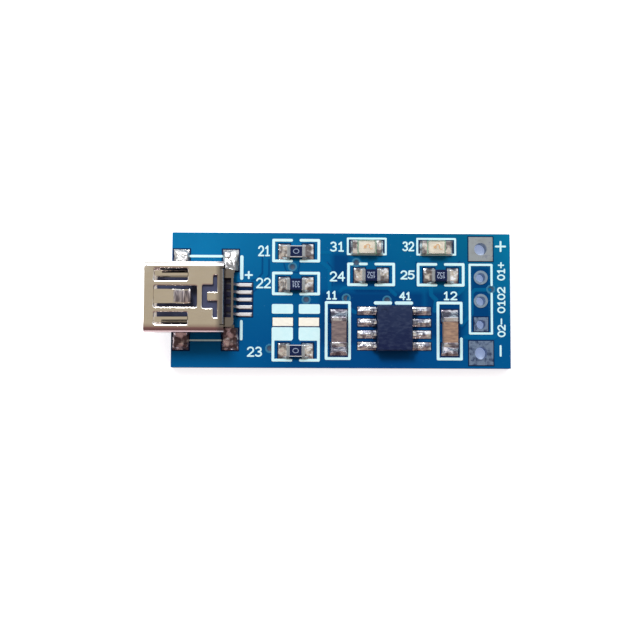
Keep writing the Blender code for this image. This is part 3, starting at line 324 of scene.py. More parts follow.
# Two-tone finishes: roughness, metal and specular level, the tones, the scale and detail of the noise
# that mixes them, and a relief as another noise's scale and detail, its height in millimetres and strength
GRAINED = {
    # Print, a little uneven where it sinks in
    "legend_ink": (
        (0.6, 0.0, 0.1), (0.52, 0.80, 0.86), (0.66, 0.88, 0.92), (2.2, 3.0), (18.0, 2.0, 0.004, 0.8)
    ),
    # Code on the resistors, with the coat showing through
    "code_ink": ((0.55, 0.0, 0.1), (0.24, 0.31, 0.46), (0.48, 0.57, 0.72), (9.0, 3.0), None),
    # Bare laminate in the mask openings round the lands, dark as painted shadow round them
    "mask_opening": (
        (0.6, 0.0, 0.05), (0.0008, 0.010, 0.050), (0.002, 0.022, 0.085), (7.0, 3.0), (12.0, 2.0, 0.01, 0.5)
    ),
    # Dark grey mask over a via's mouth, and thin mask on the raised ring round it
    "via_mouth": (
        (0.5, 0.0, 0.1), (0.02, 0.045, 0.09), (0.10, 0.13, 0.18), (6.0, 4.0, 0.6), (10.0, 2.0, 0.01, 0.6)
    ),
    "via_rim": (
        (0.4, 0.0, 0.1), (0.012, 0.135, 0.265), (0.05, 0.20, 0.32), (5.0, 3.0), (8.0, 2.0, 0.006, 0.6)
    ),
    # Flat tin on the lands that carry no resistor
    "land_solder": (
        (0.4, 0.6, 0.5), (0.96, 0.94, 0.84), (0.85, 0.84, 0.80), (2.0, 3.0), (3.0, 3.0, 0.02, 0.7)
    ),
    # A lamp's green laminate, pale reflector floor, and gold die and wire
    "lamp_substrate": (
        (0.45, 0.0, 0.4), (0.10, 0.36, 0.24), (0.25, 0.48, 0.34), (4.0, 3.0), (10.0, 2.0, 0.006, 0.5)
    ),
    "lamp_reflector": ((0.6, 0.0, 0.4), (0.98, 0.95, 0.82), (1.0, 1.0, 0.96), (5.0, 3.0), None),
    "lamp_die_gold": ((0.3, 0.6, 0.5), (0.80, 0.42, 0.14), (0.95, 0.66, 0.32), (9.0, 3.0), None),
}


def grained(name):
    """One of the two-tone finishes."""
    (rough, metal, specular), first, second, grain, relief = GRAINED[name]
    finish = Finish(name, rough, metal, specular_ior_level=specular)
    finish.color(finish.mix(finish.noise(*grain), first, second))
    if relief:
        scale, detail, distance, strength = relief
        finish.bump(finish.noise(scale, detail), distance * MM, strength)
    return finish


def solder_finish(name, bright, dull, gloss, shade, relief, grain, plated_at=None, shaded=0.0):
    """Solidified solder: bright patches as painted highlights and dull creases as painted shade, with the
    plated cap bare beside the body.

    It turns dull, a painted shade, where the noise passes shade, and sooner close to the receptacle by the
    share in shaded, as painted shade by the receptacle.
    """
    finish = Finish(name, gloss, 0.85)
    patch = finish.noise(grain, 2.0, 0.5)
    x, y, _ = finish.axes()
    # Painted shade close to the receptacle
    shade_by_shell = finish.inside(y, 3.9, 0.4) * shaded
    # Painted highlights and painted shade in patches, by the noise
    shade_amount = finish.between(patch + shade_by_shell, shade - 0.07, shade + 0.07)
    tone = finish.mix(shade_amount, bright, dull)
    height = finish.noise(grain * 1.2, 1.2, 0.5, (1.0, 1.15, 0.9))
    if plated_at is not None:
        plated = finish.inside(x - plated_at / MM, PLATED_REACH / MM, 0.05)
        tone = finish.mix(plated, tone, (0.27, 0.30, 0.32))
        finish.feed("Metallic", finish.between(plated, 0.0, 1.0, 0.85, 0.25))
        height = height * (1.0 - plated)
    finish.color(tone)
    finish.rough_by(patch, gloss - 0.07, gloss + 0.12)
    finish.bump(height, relief * MM, 0.9)
    return finish


def plated_finish(name, clean, stain, amount):
    """Tin-levelled pad: soft grey metal with stains and light scratches."""
    finish = Finish(name, 0.38, 0.9)
    stains = finish.noise(1.6, 5.0, 0.65)
    scratches = finish.noise(9.0, 2.0, 0.5, (1.0, 0.12, 1.0))
    worn = finish.between(stains, 0.62 - amount, 0.70 - amount * 0.6)
    tone = finish.mix(worn, clean, stain)
    finish.color(finish.mix(finish.between(scratches, 0.45, 0.62, 0.0, 0.35), tone, clean))
    finish.rough_by(stains, 0.30, 0.52)
    finish.bump(scratches, 0.004 * MM, 0.7)
    return finish


def steel_finish():
    """Tin-plated steel of the receptacle: warm satin plate, with painted shade in brown at the lower bend,
    dark at the rear and darker low down.
    """
    finish = Finish("plated_steel", 0.15, 1.0)
    lines = finish.noise(6.0, 3.0, 0.6, (0.15, 1.0, 1.0))
    cloud = finish.noise(0.8, 2.0)
    tone = finish.mix(cloud, (0.78, 0.74, 0.70), (0.86, 0.82, 0.77))
    tone = finish.mix(finish.between(lines, 0.35, 0.65, 0.0, 0.25), tone, (0.68, 0.63, 0.58))
    x, y, z = finish.axes()
    # Painted shade: brown at the lower bend
    bend = finish.between(y, LOWER_BEND_Y / MM + 0.45, LOWER_BEND_Y / MM - 0.05)
    tone = finish.mix(bend, tone, (0.46, 0.33, 0.34))
    # Painted shade: dark at the rear where the plate rolls down
    rear = finish.between(x, TOP_PLATE_END / MM - 0.5, TOP_PLATE_END / MM + 0.05)
    tone = finish.mix(rear * 0.88, tone, (0.22, 0.21, 0.23))
    latch_x = finish.inside(x - LATCH_X / MM, LATCH_HALF_X / MM, 0.1)
    latch = latch_x * finish.inside(y, LATCH_HALF_Y / MM, 0.05)
    rubbed = finish.noise(3.5, 3.0, 0.6, (1.0, 0.12, 1.0))
    worn = finish.mix(finish.between(rubbed, 0.45, 0.56), (0.11, 0.09, 0.12), (0.50, 0.44, 0.46))
    tone = finish.mix(latch * 0.9, tone, worn)
    # Painted shade: darker low down on the shell
    low = finish.between(z, 3.6, 2.0)
    finish.color(finish.mix(low * 0.5, tone, (0.30, 0.27, 0.26)))
    finish.rough(finish.between(lines, 0.3, 0.7, 0.10, 0.18) + latch * 0.25)
    finish.bump(lines, 0.002 * MM, 0.4)
    return finish


def insulator_finish():
    """Moulded plastic of the receptacle: slate under the slots, and near-black in the comb at the rear as
    painted shade.
    """
    finish = Finish("insulator_moulding", specular_ior_level=0.2)
    flow = finish.noise(2.0, 3.0, 0.5, (1.0, 0.4, 1.0))
    tone = finish.mix(flow, (0.030, 0.036, 0.085), (0.060, 0.070, 0.135))
    x, _, _ = finish.axes()
    # Painted shade: near-black at the rear
    rear = finish.between(x, TOP_PLATE_END / MM, TOP_PLATE_END / MM + 0.4)
    finish.color(finish.mix(rear, tone, (0.006, 0.006, 0.030)))
    finish.rough_by(flow, 0.42, 0.58)
    finish.bump(finish.noise(20.0, 2.0), 0.004 * MM, 0.6)
    return finish


def contact_finish():
    """Strip of the contacts: tinned white on the feet, with painted shade on their tips and on the risers
    above them.
    """
    finish = Finish("contact_plating", 0.3, 0.3)
    lines = finish.noise(8.0, 2.0, 0.5, (0.1, 1.0, 1.0))
    tone = finish.mix(lines, (0.86, 0.87, 0.90), (0.66, 0.66, 0.70))
    x, _, z = finish.axes()
    # Painted shade on the feet's tips
    cut = finish.between(x, FOOT_HIGH.x / MM - 0.16, FOOT_HIGH.x / MM - 0.08)
    # Painted shade on the risers
    riser_shade = finish.between(z, TOP / MM + 0.3, TOP / MM + 0.8)
    finish.color(finish.mix(cut.maths("MAXIMUM", cut, riser_shade), tone, (0.07, 0.07, 0.10)))
    finish.rough_by(lines, 0.2, 0.36)
    return finish


def moulding_finish():
    """Epoxy of the chip: near-black with a violet cast and a sparkled, matt grain, lighter towards its
    upper side as painted light.
    """
    finish = Finish("chip_epoxy", 0.5, specular_ior_level=0.12)
    _, y, _ = finish.axes()
    grain = finish.noise(16.0, 4.0, 0.7)
    cloud = finish.noise(0.9, 3.0)
    # Painted light: lighter towards the upper side
    lit = finish.between(y + (cloud - 0.5) * 3.0, -5.2, -0.8)
    tone = finish.mix(lit, (0.0025, 0.008, 0.048), (0.012, 0.024, 0.072))
    # Paler streaks drawn out along X
    pale_streaks = finish.noise(2.4, 4.0, 0.6, (0.7, 1.5, 1.0))
    tone = finish.mix(finish.between(pale_streaks, 0.45, 0.72, 0.0, 0.45), tone, (0.05, 0.07, 0.13))
    finish.color(finish.mix(finish.between(grain, 0.55, 0.75, 0.0, 0.5), tone, (0.04, 0.06, 0.13)))
    finish.rough_by(grain, 0.42, 0.6)
    finish.bump(grain, 0.010 * MM, 0.8)
    return finish


def resistor_finish(number):
    """White ceramic with a dark overcoat: all across the body, or only on its top."""
    finish = Finish("resistor_%d_ceramic" % number, 0.4, specular_ior_level=0.12)
    body = "resistor_%d_body" % number
    x, _, z = finish.axes()
    ceramic = finish.mix(finish.noise(5.0, 3.0), (0.50, 0.52, 0.56), (0.66, 0.67, 0.70))
    coat = finish.mix(finish.noise(4.0, 3.0), (0.0015, 0.006, 0.040), (0.010, 0.020, 0.075))
    inside = abs(x - middle_of(body).x / MM) < COAT_REACH / MM + 0.01
    if number not in WIDE_COATS:
        inside = inside * (z > (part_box(body)[1].z - 0.04 * MM) / MM)
    finish.color(finish.mix(inside, ceramic, coat))
    finish.rough(finish.between(inside, 0.0, 1.0, 0.55, 0.26))
    finish.bump(finish.noise(9.0, 2.0), 0.006 * MM, 0.5)
    return finish


def dielectric_finish(name, light, dark):
    """Fired ceramic of a capacitor, with its layers faintly showing."""
    finish = Finish(name, 0.42, specular_ior_level=0.2)
    layers = finish.noise(3.0, 4.0, 0.6, (0.3, 1.2, 3.0))
    speck = finish.noise(14.0, 3.0, 0.6)
    tone = finish.mix(finish.between(layers, 0.35, 0.65), light, dark)
    finish.color(finish.mix(finish.between(speck, 0.5, 0.7, 0.0, 0.4), tone, dark))
    finish.rough_by(speck, 0.34, 0.5)
    finish.bump(speck, 0.008 * MM, 0.6)
    return finish


def lens_finish():
    """Clear, slightly yellowed encapsulant."""
    finish = Finish("lamp_lens", 0.12, specular_ior_level=0.4, transmission_weight=0.86, ior=1.45)
    haze = finish.noise(2.5, 3.0)
    finish.color(finish.mix(haze, (1.0, 0.95, 0.86), (1.0, 0.98, 0.93)))
    finish.bump(finish.noise(2.6, 1.5), 0.05 * MM, 0.8)
    finish.rough_by(haze, 0.06, 0.16)
    return finish


def floor_finish():
    """Plain pale studio paper that glows evenly bright all round the board, and dimmer and bluish under it
    as painted shade.
    """
    finish = Finish("studio_paper", 0.9, specular_ior_level=0.0, emission_strength=1.0)
    finish.color(finish.mix(finish.noise(0.05, 2.0), (0.86, 0.86, 0.86), (0.88, 0.88, 0.88)))
    x, y, _ = finish.axes()
    # Painted shade: a dimmer, bluish glow under the board
    inside_x = finish.inside(x, BOARD_HIGH.x / MM - 0.45, 0.25)
    inside_y = finish.inside(y, BOARD_HIGH.y / MM - 0.45, 0.25)
    glow_with_painted_shade = finish.mix(inside_x * inside_y, (0.70, 0.72, 0.76), (0.18, 0.25, 0.43))
    finish.feed("Emission Color", glow_with_painted_shade)
    return finish


# Modelling helpers

def deselect():
    bpy.ops.object.select_all(action="DESELECT")


def take(obj):
    """Selects this object alone and makes it active."""
    deselect()
    obj.select_set(True)
    bpy.context.view_layer.objects.active = obj
    return obj


def apply_all(obj):
    take(obj)
    for modifier in list(obj.modifiers):
        bpy.ops.object.modifier_apply(modifier=modifier.name)


def settle(obj):
    """Puts the object's place into its mesh."""
    take(obj)
    bpy.ops.object.transform_apply(location=True, rotation=True, scale=True)


def placed(name, data):
    """A new object in the scene."""
    obj = bpy.data.objects.new(name, data)
    bpy.context.scene.collection.objects.link(obj)
    return obj


def edit_all():
    """Opens the active mesh with all of it selected."""
    bpy.ops.object.mode_set(mode="EDIT")
    bpy.ops.mesh.select_all(action="SELECT")


def raise_faces(rise):
    """Draws the selected faces upwards as a solid."""
    bpy.ops.mesh.extrude_region_move(TRANSFORM_OT_translate={"value": (0, 0, rise)})


def close_solid():
    """Turns all faces of the open mesh outwards and leaves it."""
    bpy.ops.mesh.select_all(action="SELECT")
    bpy.ops.mesh.normals_make_consistent(inside=False)
    bpy.ops.object.mode_set(mode="OBJECT")


def dress(obj, finish, slot, *replaced):
    if finish is not None:
        obj.data.materials.clear()
        obj.data.materials.append(finish.material)
    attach(obj, "root")
    if replaced:
        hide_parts(*replaced)
    return obj


def join(pieces, name):
    deselect()
    for piece in pieces:
        piece.select_set(True)
    bpy.context.view_layer.objects.active = pieces[0]
    bpy.ops.object.join()
    joined = bpy.context.view_layer.objects.active
    joined.name = name
    joined.data.name = name
    settle(joined)
    return joined


def copy_of(node, name):
    """A welded copy of a CAD node's mesh, for a piece that replaces it."""
    obj = take(placed(name, NODES[node].data.copy()))
    edit_all()
    bpy.ops.mesh.remove_doubles(threshold=0.0005 * MM)
    bpy.ops.mesh.customdata_custom_splitnormals_clear()
    bpy.ops.object.mode_set(mode="OBJECT")
    return obj


STROKE_SIDES = 20


def stroke_pattern():
    """A short round-ended bar of unit radius and height, which every printed stroke is copied from."""
    deselect()
    bpy.ops.mesh.primitive_circle_add(vertices=STROKE_SIDES, radius=1.0, fill_type="NGON")
    pattern = bpy.context.active_object
    pattern.name = "stroke_pattern"
    edit_all()
    half_step = math.pi / STROKE_SIDES
    bpy.ops.transform.rotate(value=half_step, orient_axis="Z", center_override=(0, 0, 0))
    raise_faces(1.0)
    close_solid()
    return pattern


PATTERN = stroke_pattern()
stroke_count = 0


def stroke(start, end, width, low, high):
    """One printed stroke with round ends, from start to end."""
    global stroke_count
    stroke_count += 1
    start = Vector(start)
    along = Vector(end) - start
    mesh = PATTERN.data.copy()
    radius = width / 2
    for vertex in mesh.vertices:
        if vertex.co.x > 0:
            vertex.co.x += along.length / radius
    rise = high - low + (stroke_count % STROKE_LEVELS) * STEP_BETWEEN_STROKES
    turn = math.atan2(along.y, along.x)
    place = Matrix.Translation((start.x, start.y, low)) @ Matrix.Rotation(turn, 4, "Z")
    mesh.transform(place @ Matrix.Diagonal((radius, radius, rise, 1.0)))
    return placed("stroke", mesh)


def line(points, width, closed=False, low=TOP, high=TOP + PRINT_HEIGHT):
    """Strokes from point to point, and back to the first where the line is closed."""
    pairs = list(zip(points, points[1:]))
    if closed:
        pairs.append((points[-1], points[0]))
    return [stroke(a, b, width, low, high) for a, b in pairs]


def frame_corners(x, y, half_x, half_y):
    """Corners of a rectangle about a point, from the lower left one round to the upper left one."""
    signs = ((-1, -1), (1, -1), (1, 1), (-1, 1))
    return [(x + across * half_x, y + up * half_y) for across, up in signs]


def about(centre, half_x, half_y):
    """Edges in X and Y of a rectangle about a point."""
    return (centre.x - half_x, centre.x + half_x, centre.y - half_y, centre.y + half_y)


def grown(low, high, margin):
    """Edges in X and Y of a box, moved out by a margin."""
    return (low.x - margin, high.x + margin, low.y - margin, high.y + margin)


def block(name, x_low, x_high, y_low, y_high, z_low, z_high, rounding):
    """A flat rectangle of print or land with rounded corners."""
    deselect()
    centre = ((x_low + x_high) / 2, (y_low + y_high) / 2, z_low)
    bpy.ops.mesh.primitive_plane_add(size=1.0, location=centre)
    obj = bpy.context.active_object
    obj.name = name
    obj.scale = (x_high - x_low, y_high - y_low, 1.0)
    settle(obj)
    edit_all()
    bpy.ops.mesh.bevel(offset=rounding, segments=4, affect="VERTICES")
    bpy.ops.mesh.select_all(action="SELECT")
    raise_faces(z_high - z_low)
    close_solid()
    return obj


# Numerals drawn as strokes on a unit square

def arc(x, y, radius_x, radius_y, start, end, steps=8):
    angles = [math.radians(start + (end - start) * step / steps) for step in range(steps + 1)]
    return [(x + radius_x * math.cos(a), y + radius_y * math.sin(a)) for a in angles]


NUMERALS = {
    "0": [arc(0.5, 0.5, 0.5, 0.5, 0, 360, 14)],
    "1": [[(0.2, 0.78), (0.55, 1.0), (0.55, 0.0)], [(0.2, 0.0), (0.9, 0.0)]],
    "2": [arc(0.5, 0.7, 0.46, 0.3, 165, -35) + [(0.04, 0.0), (1.0, 0.0)]],
    "3": [arc(0.48, 0.75, 0.42, 0.25, 150, -90) + arc(0.48, 0.25, 0.48, 0.25, 90, -150)],
    "4": [[(0.75, 0.0), (0.75, 1.0), (0.0, 0.32), (1.0, 0.32)]],
    "5": [[(0.92, 1.0), (0.16, 1.0), (0.08, 0.56)] + arc(0.45, 0.32, 0.5, 0.32, 110, -150)],
    "+": [[(0.0, 0.5), (1.0, 0.5)], [(0.5, 0.0), (0.5, 1.0)]],
    "-": [[(0.0, 0.5), (1.0, 0.5)]],
}
NUMERAL_SHARE = 0.78


def numerals(text, x_low, x_high, y_low, y_high, width, low=TOP, high=TOP + PRINT_HEIGHT, turn=0.0):
    """Numerals that fill the box given by its edges, turned about its centre."""
    middle = Vector(((x_low + x_high) / 2, (y_low + y_high) / 2))
    across, up = x_high - x_low - width, y_high - y_low - width
    if abs(math.sin(turn)) > 0.5:
        across, up = up, across
    cell = across / (len(text) - 1 + NUMERAL_SHARE)
    made = []
    for index, letter in enumerate(text):
        size = cell * NUMERAL_SHARE
        height = up
        lift = 0.0
        if letter in "+-":
            height = size
            lift = (up - size) / 2
        for path in NUMERALS[letter]:
            points = []
            for x, y in path:
                point = Vector((index * cell + x * size - across / 2, y * height + lift - up / 2))
                point.rotate(Matrix.Rotation(turn, 2))
                points.append(middle + point)
            made += line(points, width, False, low, high)
    return made


# Vias, as X and Y of the layout in millimetres
VIA_PLACES = [
    (-5.22, 3.60), (-3.72, 0.05), (-7.62, -5.25), (0.62, 0.23), (5.03, 0.04), (1.70, 4.10), (16.29, 1.27),
]
VIA_SIDES = 32
VIA_RADIUS = 0.5 * MM
VIA_ROOT = 0.1 * MM
VIA_RISE = 0.02 * MM
VIA_MOUTH_RADIUS = 0.34 * MM

# Steps from a via's rim to its mouth: how far in each lies, and how far up from the one before
VIA_STEPS = [
    (0.05 * MM, 0.010 * MM), (0.13 * MM, 0.0), (0.05 * MM, -0.035 * MM), (0.12 * MM, -0.045 * MM),
]

# Legend print

# How far the print lies above the parts that it frames
LEGEND_LIFT = 0.13 * MM
CAPACITOR_LEGEND_LIFT = 0.2 * MM

BRACKET_HALF_X = 2.45 * MM
BRACKET_HALF_Y = 1.13 * MM
BRACKET_GAP = 0.36 * MM
LAMP_FRAME_HALVES = (2.06 * MM, 0.86 * MM)
CAPACITOR_FRAME_HALVES = (1.26 * MM, 3.03 * MM)

# A via this close to a line breaks it, with this much room on each side
VIA_NEAR = 0.25 * MM
VIA_CLEARANCE = 0.28 * MM


def via_on(x_low, x_high, y):
    """X of a via that breaks through a printed line at this Y, or nothing."""
    for x, via_y in VIA_PLACES:
        x = LAYOUT_X + x * MM
        if x_low < x < x_high and abs(via_y * MM - y) < VIA_NEAR:
            return x
    return None


def resistor_brackets():
    """A left and a right bracket round each resistor, open in the middle and where a via lies."""
    made = []
    for number in range(1, 6):
        centre = middle_of("resistor_%d_body" % number)
        y = centre.y + LEGEND_LIFT
        for side in (-1, 1):
            near = centre.x + side * (BRACKET_GAP + BRACKET_LINE / 2)
            far = centre.x + side * BRACKET_HALF_X
            top, bottom = y + BRACKET_HALF_Y, y - BRACKET_HALF_Y
            via_x = via_on(min(near, far), max(near, far), top)
            if via_x is None:
                made += line([(near, top), (far, top)], BRACKET_LINE)
            else:
                clear = side * (VIA_CLEARANCE + BRACKET_LINE / 2)
                made += line([(near, top), (via_x - clear, top)], BRACKET_LINE)
                made += line([(via_x + clear, top), (far, top)], BRACKET_LINE)
            made += line([(far, top), (far, bottom), (near, bottom)], BRACKET_LINE)
    return made


def lamp_outlines():
    made = []
    for number in (1, 2):
        centre = middle_of("led_%d_lens" % number)
        corners = frame_corners(centre.x, centre.y + LEGEND_LIFT, *LAMP_FRAME_HALVES)
        made += line(corners, OUTLINE_LINE, True)
    return made


def capacitor_outlines():
    """A closed frame round the left capacitor, and one with a gap in its right side round the other."""
    left_x = middle_of("capacitor_1_body").x - 0.1 * MM
    left_y = middle_of("capacitor_1_body").y + CAPACITOR_LEGEND_LIFT
    made = line(frame_corners(left_x, left_y, *CAPACITOR_FRAME_HALVES), BRACKET_LINE, True)
    x, y, _ = middle_of("capacitor_2_body")
    corners = frame_corners(x, y + CAPACITOR_LEGEND_LIFT, *CAPACITOR_FRAME_HALVES)
    low_left, low_right, high_right, high_left = corners
    gap_low, gap_high = y - 0.65 * MM, y + 1.1 * MM
    path = [(low_right[0], gap_low), low_right, low_left, high_left, high_right, (high_right[0], gap_high)]
    return made + line(path, BRACKET_LINE)


def chip_outline():
    """The two bars above the chip with the notch between them."""
    middle = middle_of("charger_chip_body").x - 0.08 * MM
    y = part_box("charger_chip_body")[1].y + 0.33 * MM
    notch = 0.32 * MM
    reach = 1.95 * MM
    made = line([(middle - reach, y), (middle - notch, y)], BAR_LINE)
    return made + line([(middle + notch, y), (middle + reach, y)], BAR_LINE)


def header_outline():
    """Box round the header pads, broken where a via breaks through its line."""
    centre = middle_of("header_pad_2")
    left, right = centre.x - 1.2 * MM, centre.x + 1.18 * MM
    low_y, high_y = centre.y - 3.53 * MM, centre.y + 3.93 * MM
    via_y = centre.y + 1.27 * MM
    clear = 0.48 * MM
    path = [(right, via_y + clear), (right, high_y), (left, high_y), (left, low_y), (right, low_y)]
    return line(path + [(right, via_y - clear)], HEADER_LINE)


def plus_sign(x, y, arm, width):
    return line([(x - arm, y), (x + arm, y)], width) + line([(x, y - arm), (x, y + arm)], width)


def polarity_marks():
    """Plus and minus to the right of the wire pads, set out from the pads' centres."""
    plus = middle_of("battery_plus_pad")
    made = plus_sign(plus.x + 2.18 * MM, plus.y + 0.3 * MM, 0.5 * MM, OUTLINE_LINE)
    minus = middle_of("battery_minus_pad")
    x, y = minus.x + 2.1 * MM, minus.y + 0.24 * MM
    arm = 0.52 * MM
    return made + line([(x, y - arm), (x, y + arm)], OUTLINE_LINE)


def receptacle_marks():
    """Lines between the solder tabs, the bars at the rear and the small plus."""
    front = middle_of("usb_tab_solder_1").x
    rear = middle_of("usb_tab_solder_3").x
    reach = 0.98 * MM
    upper_y, lower_y = 4.72 * MM, -4.4 * MM
    made = line([(front + reach, upper_y), (rear - reach, upper_y)], EDGE_LINE)
    made += line([(front + reach, lower_y), (rear - reach, lower_y)], TEXT_LINE)
    bar_x = rear + 1.2 * MM
    bar_start = 2.34 * MM
    made += line([(bar_x, bar_start), (bar_x, 4.66 * MM)], BAR_LINE)
    made += line([(bar_x, -bar_start), (bar_x, -4.24 * MM)], BRACKET_LINE)
    return made + plus_sign(bar_x + 0.76 * MM, 2.69 * MM, 0.34 * MM, SIGN_LINE)


def spare_place_blocks():
    """Filled legend above and below the lands that carry no resistor."""
    bracket_x = middle_of("resistor_1_body").x
    top = TOP + PRINT_HEIGHT + (STROKE_LEVELS + 1) * STEP_BETWEEN_STROKES
    made = []
    for side, node in ((-1, "spare_land_1"), (1, "spare_land_2")):
        low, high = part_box(node)
        near = high.x if side < 0 else low.x
        far = bracket_x + side * (BRACKET_HALF_X + BRACKET_LINE / 2)
        x_low, x_high = sorted((near, far))
        upper = (high.y + 0.42 * MM, high.y + 1.46 * MM)
        lower = (low.y - 1.49 * MM, low.y - 0.12 * MM)
        for y_low, y_high in (upper, lower):
            made.append(block("spare_block", x_low, x_high, y_low, y_high, TOP, top, 0.16 * MM))
    return made


def designators():
    """Plain numbers beside the parts and the header, each in a box given by its edges in the layout."""
    made = []
    boxes = [
        ("21", -8.97, -7.60, 4.74, 5.93),
        ("22", -9.17, -7.52, 1.26, 2.41),
        ("23", -10.10, -8.41, -6.16, -5.05),
        ("31", -1.18, 0.42, 5.28, 6.39),
        ("24", -1.20, 0.48, 2.04, 3.15),
        ("11", -1.62, -0.34, 0.06, 1.03),
        ("32", 6.67, 8.00, 5.37, 6.45),
        ("25", 6.46, 8.06, 2.29, 3.29),
        ("41", 6.35, 7.68, 0.03, 0.95),
        ("12", 11.06, 12.66, 0.05, 1.03),
    ]
    for text, x_low, x_high, y_low, y_high in boxes:
        edges = (LAYOUT_X + x_low * MM, LAYOUT_X + x_high * MM, y_low * MM, y_high * MM)
        made += numerals(text, *edges, TEXT_LINE)
    column = (LAYOUT_X + 16.97 * MM, LAYOUT_X + 17.86 * MM)
    for text, y_low, y_high in (("01+", 2.23, 4.24), ("0102", -1.33, 1.53), ("02-", -3.92, -1.89)):
        made += numerals(text, *column, y_low * MM, y_high * MM, SIDE_TEXT_LINE, turn=math.pi / 2)
    return made


def legend(ink):
    made = resistor_brackets() + lamp_outlines() + capacitor_outlines() + chip_outline()
    made += header_outline() + polarity_marks() + receptacle_marks() + spare_place_blocks()
    dress(join(made, "legend_outlines"), ink, "solder_mask_board")
    dress(join(designators(), "legend_numbers"), ink, "solder_mask_board")


def resistor_codes(ink):
    """A lone numeral or three of them on each resistor: half length, half height, line width, turn."""
    lone = (0.33 * MM, 0.27 * MM, 0.058 * MM, math.pi / 2)
    three = (0.44 * MM, 0.34 * MM, 0.065 * MM, math.pi)
    made = []
    for number, code in ((1, "0"), (2, "331"), (3, "0"), (4, "152"), (5, "152")):
        body = "resistor_%d_body" % number
        half_x, half_y, width, turn = lone if len(code) == 1 else three
        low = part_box(body)[1].z
        edges = about(middle_of(body), half_x, half_y)
        made += numerals(code, *edges, width, low, low + 0.006 * MM, turn=turn)
    dress(join(made, "resistor_codes"), ink, "resistor_body")


# Copper under the mask, as points of the layout and a width, in millimetres

TRACKS = [
    ([(-2.2, 5.22), (-1.1, 5.22)], 0.36),
    ([(-2.3, 4.3), (-1.2, 3.45), (-1.2, 1.05)], 0.42),
    ([(-0.05, 1.0), (0.35, 1.35), (5.2, 1.35), (5.95, 0.62)], 0.38),
    ([(9.8, 1.6), (9.8, 0.65), (10.35, 0.1), (10.2, -1.1)], 0.46),
    ([(13.6, 4.2), (13.6, 1.6), (12.7, 0.72)], 0.42),
    ([(16.2, 1.22), (14.6, 1.22), (14.2, 0.85), (14.2, -1.4), (13.1, -2.6)], 0.4),
    ([(13.4, -3.95), (16.6, -3.95), (17.4, -3.3)], 0.42),
    ([(0.9, 0.25), (0.9, -0.9), (1.6, -1.3)], 0.42),
]

# Gaps between the copper areas, where the mask lies on bare laminate
ISOLATION_GAPS = [
    ([(-8.47, 4.73), (-8.47, 2.9), (-9.0, 2.25), (-9.6, 2.1)], 0.2),
    ([(-7.75, 4.4), (-7.75, 2.7), (-8.2, 2.2)], 0.2),
    ([(-10.2, 0.75), (-9.6, 0.75), (-9.1, 1.15)], 0.18),
    ([(-6.14, 3.95), (-5.89, 3.1), (-4.6, 3.0), (-4.4, 4.1)], 0.16),
    ([(-1.45, 4.15), (-0.9, 3.5), (-0.9, 1.6)], 0.14),
    ([(12.9, 4.3), (12.4, 3.6), (12.4, 2.0)], 0.16),
    ([(13.74, -2.24), (13.1, -3.11)], 0.16),
    ([(8.2, 4.2), (8.2, 1.6)], 0.16),
]


def copper_lines(name, paths, rise, finish):
    """Lines that stand faintly proud under the mask."""
    made = []
    for points, width in paths:
        points = [(LAYOUT_X + x * MM, y * MM) for x, y in points]
        made += line(points, width * MM, False, TOP - TRACK_HEIGHT, TOP + rise)
    dress(join(made, name), finish, "solder_mask_board")


def via(name, x, y, z, up, ring, mouth):
    """Ring of mask-covered copper round a via, with its mouth dished in the middle."""
    deselect()
    bpy.ops.mesh.primitive_circle_add(
        vertices=VIA_SIDES, radius=VIA_RADIUS, fill_type="NGON", location=(x, y, z - up * VIA_ROOT)
    )
    obj = bpy.context.active_object
    obj.name = name
    settle(obj)
    edit_all()
    raise_faces(up * (VIA_ROOT + VIA_RISE))
    for inset, rise in VIA_STEPS:
        bpy.ops.mesh.inset(thickness=inset)
        bpy.ops.transform.translate(value=(0, 0, up * rise))
    close_solid()
    obj.data.materials.append(ring.material)
    obj.data.materials.append(mouth.material)
    for face in obj.data.polygons:
        reach = max((obj.data.vertices[i].co.xy - Vector((x, y))).length for i in face.vertices)
        face.material_index = 1 if reach < VIA_MOUTH_RADIUS else 0
    bpy.ops.object.shade_smooth_by_angle(angle=math.radians(50))
    return dress(obj, None, "solder_mask_board")


def vias(ring, mouth):
    """A ring on each face of the board at every via."""
    for number, (x, y) in enumerate(VIA_PLACES, 1):
        place = (LAYOUT_X + x * MM, y * MM)
        via("via_ring_%d" % number, *place, TOP, 1, ring, mouth)
        via("via_ring_under_%d" % number, *place, 0.03 * MM, -1, ring, mouth)


# Room that the mask leaves round each kind of land
PAD_MARGIN = 0.05 * MM
LAND_MARGIN = 0.06 * MM
LEAD_MARGIN = 0.08 * MM
END_MARGIN = 0.1 * MM
TAB_MARGIN = 0.12 * MM
OPENING_ROUNDING = 0.05 * MM


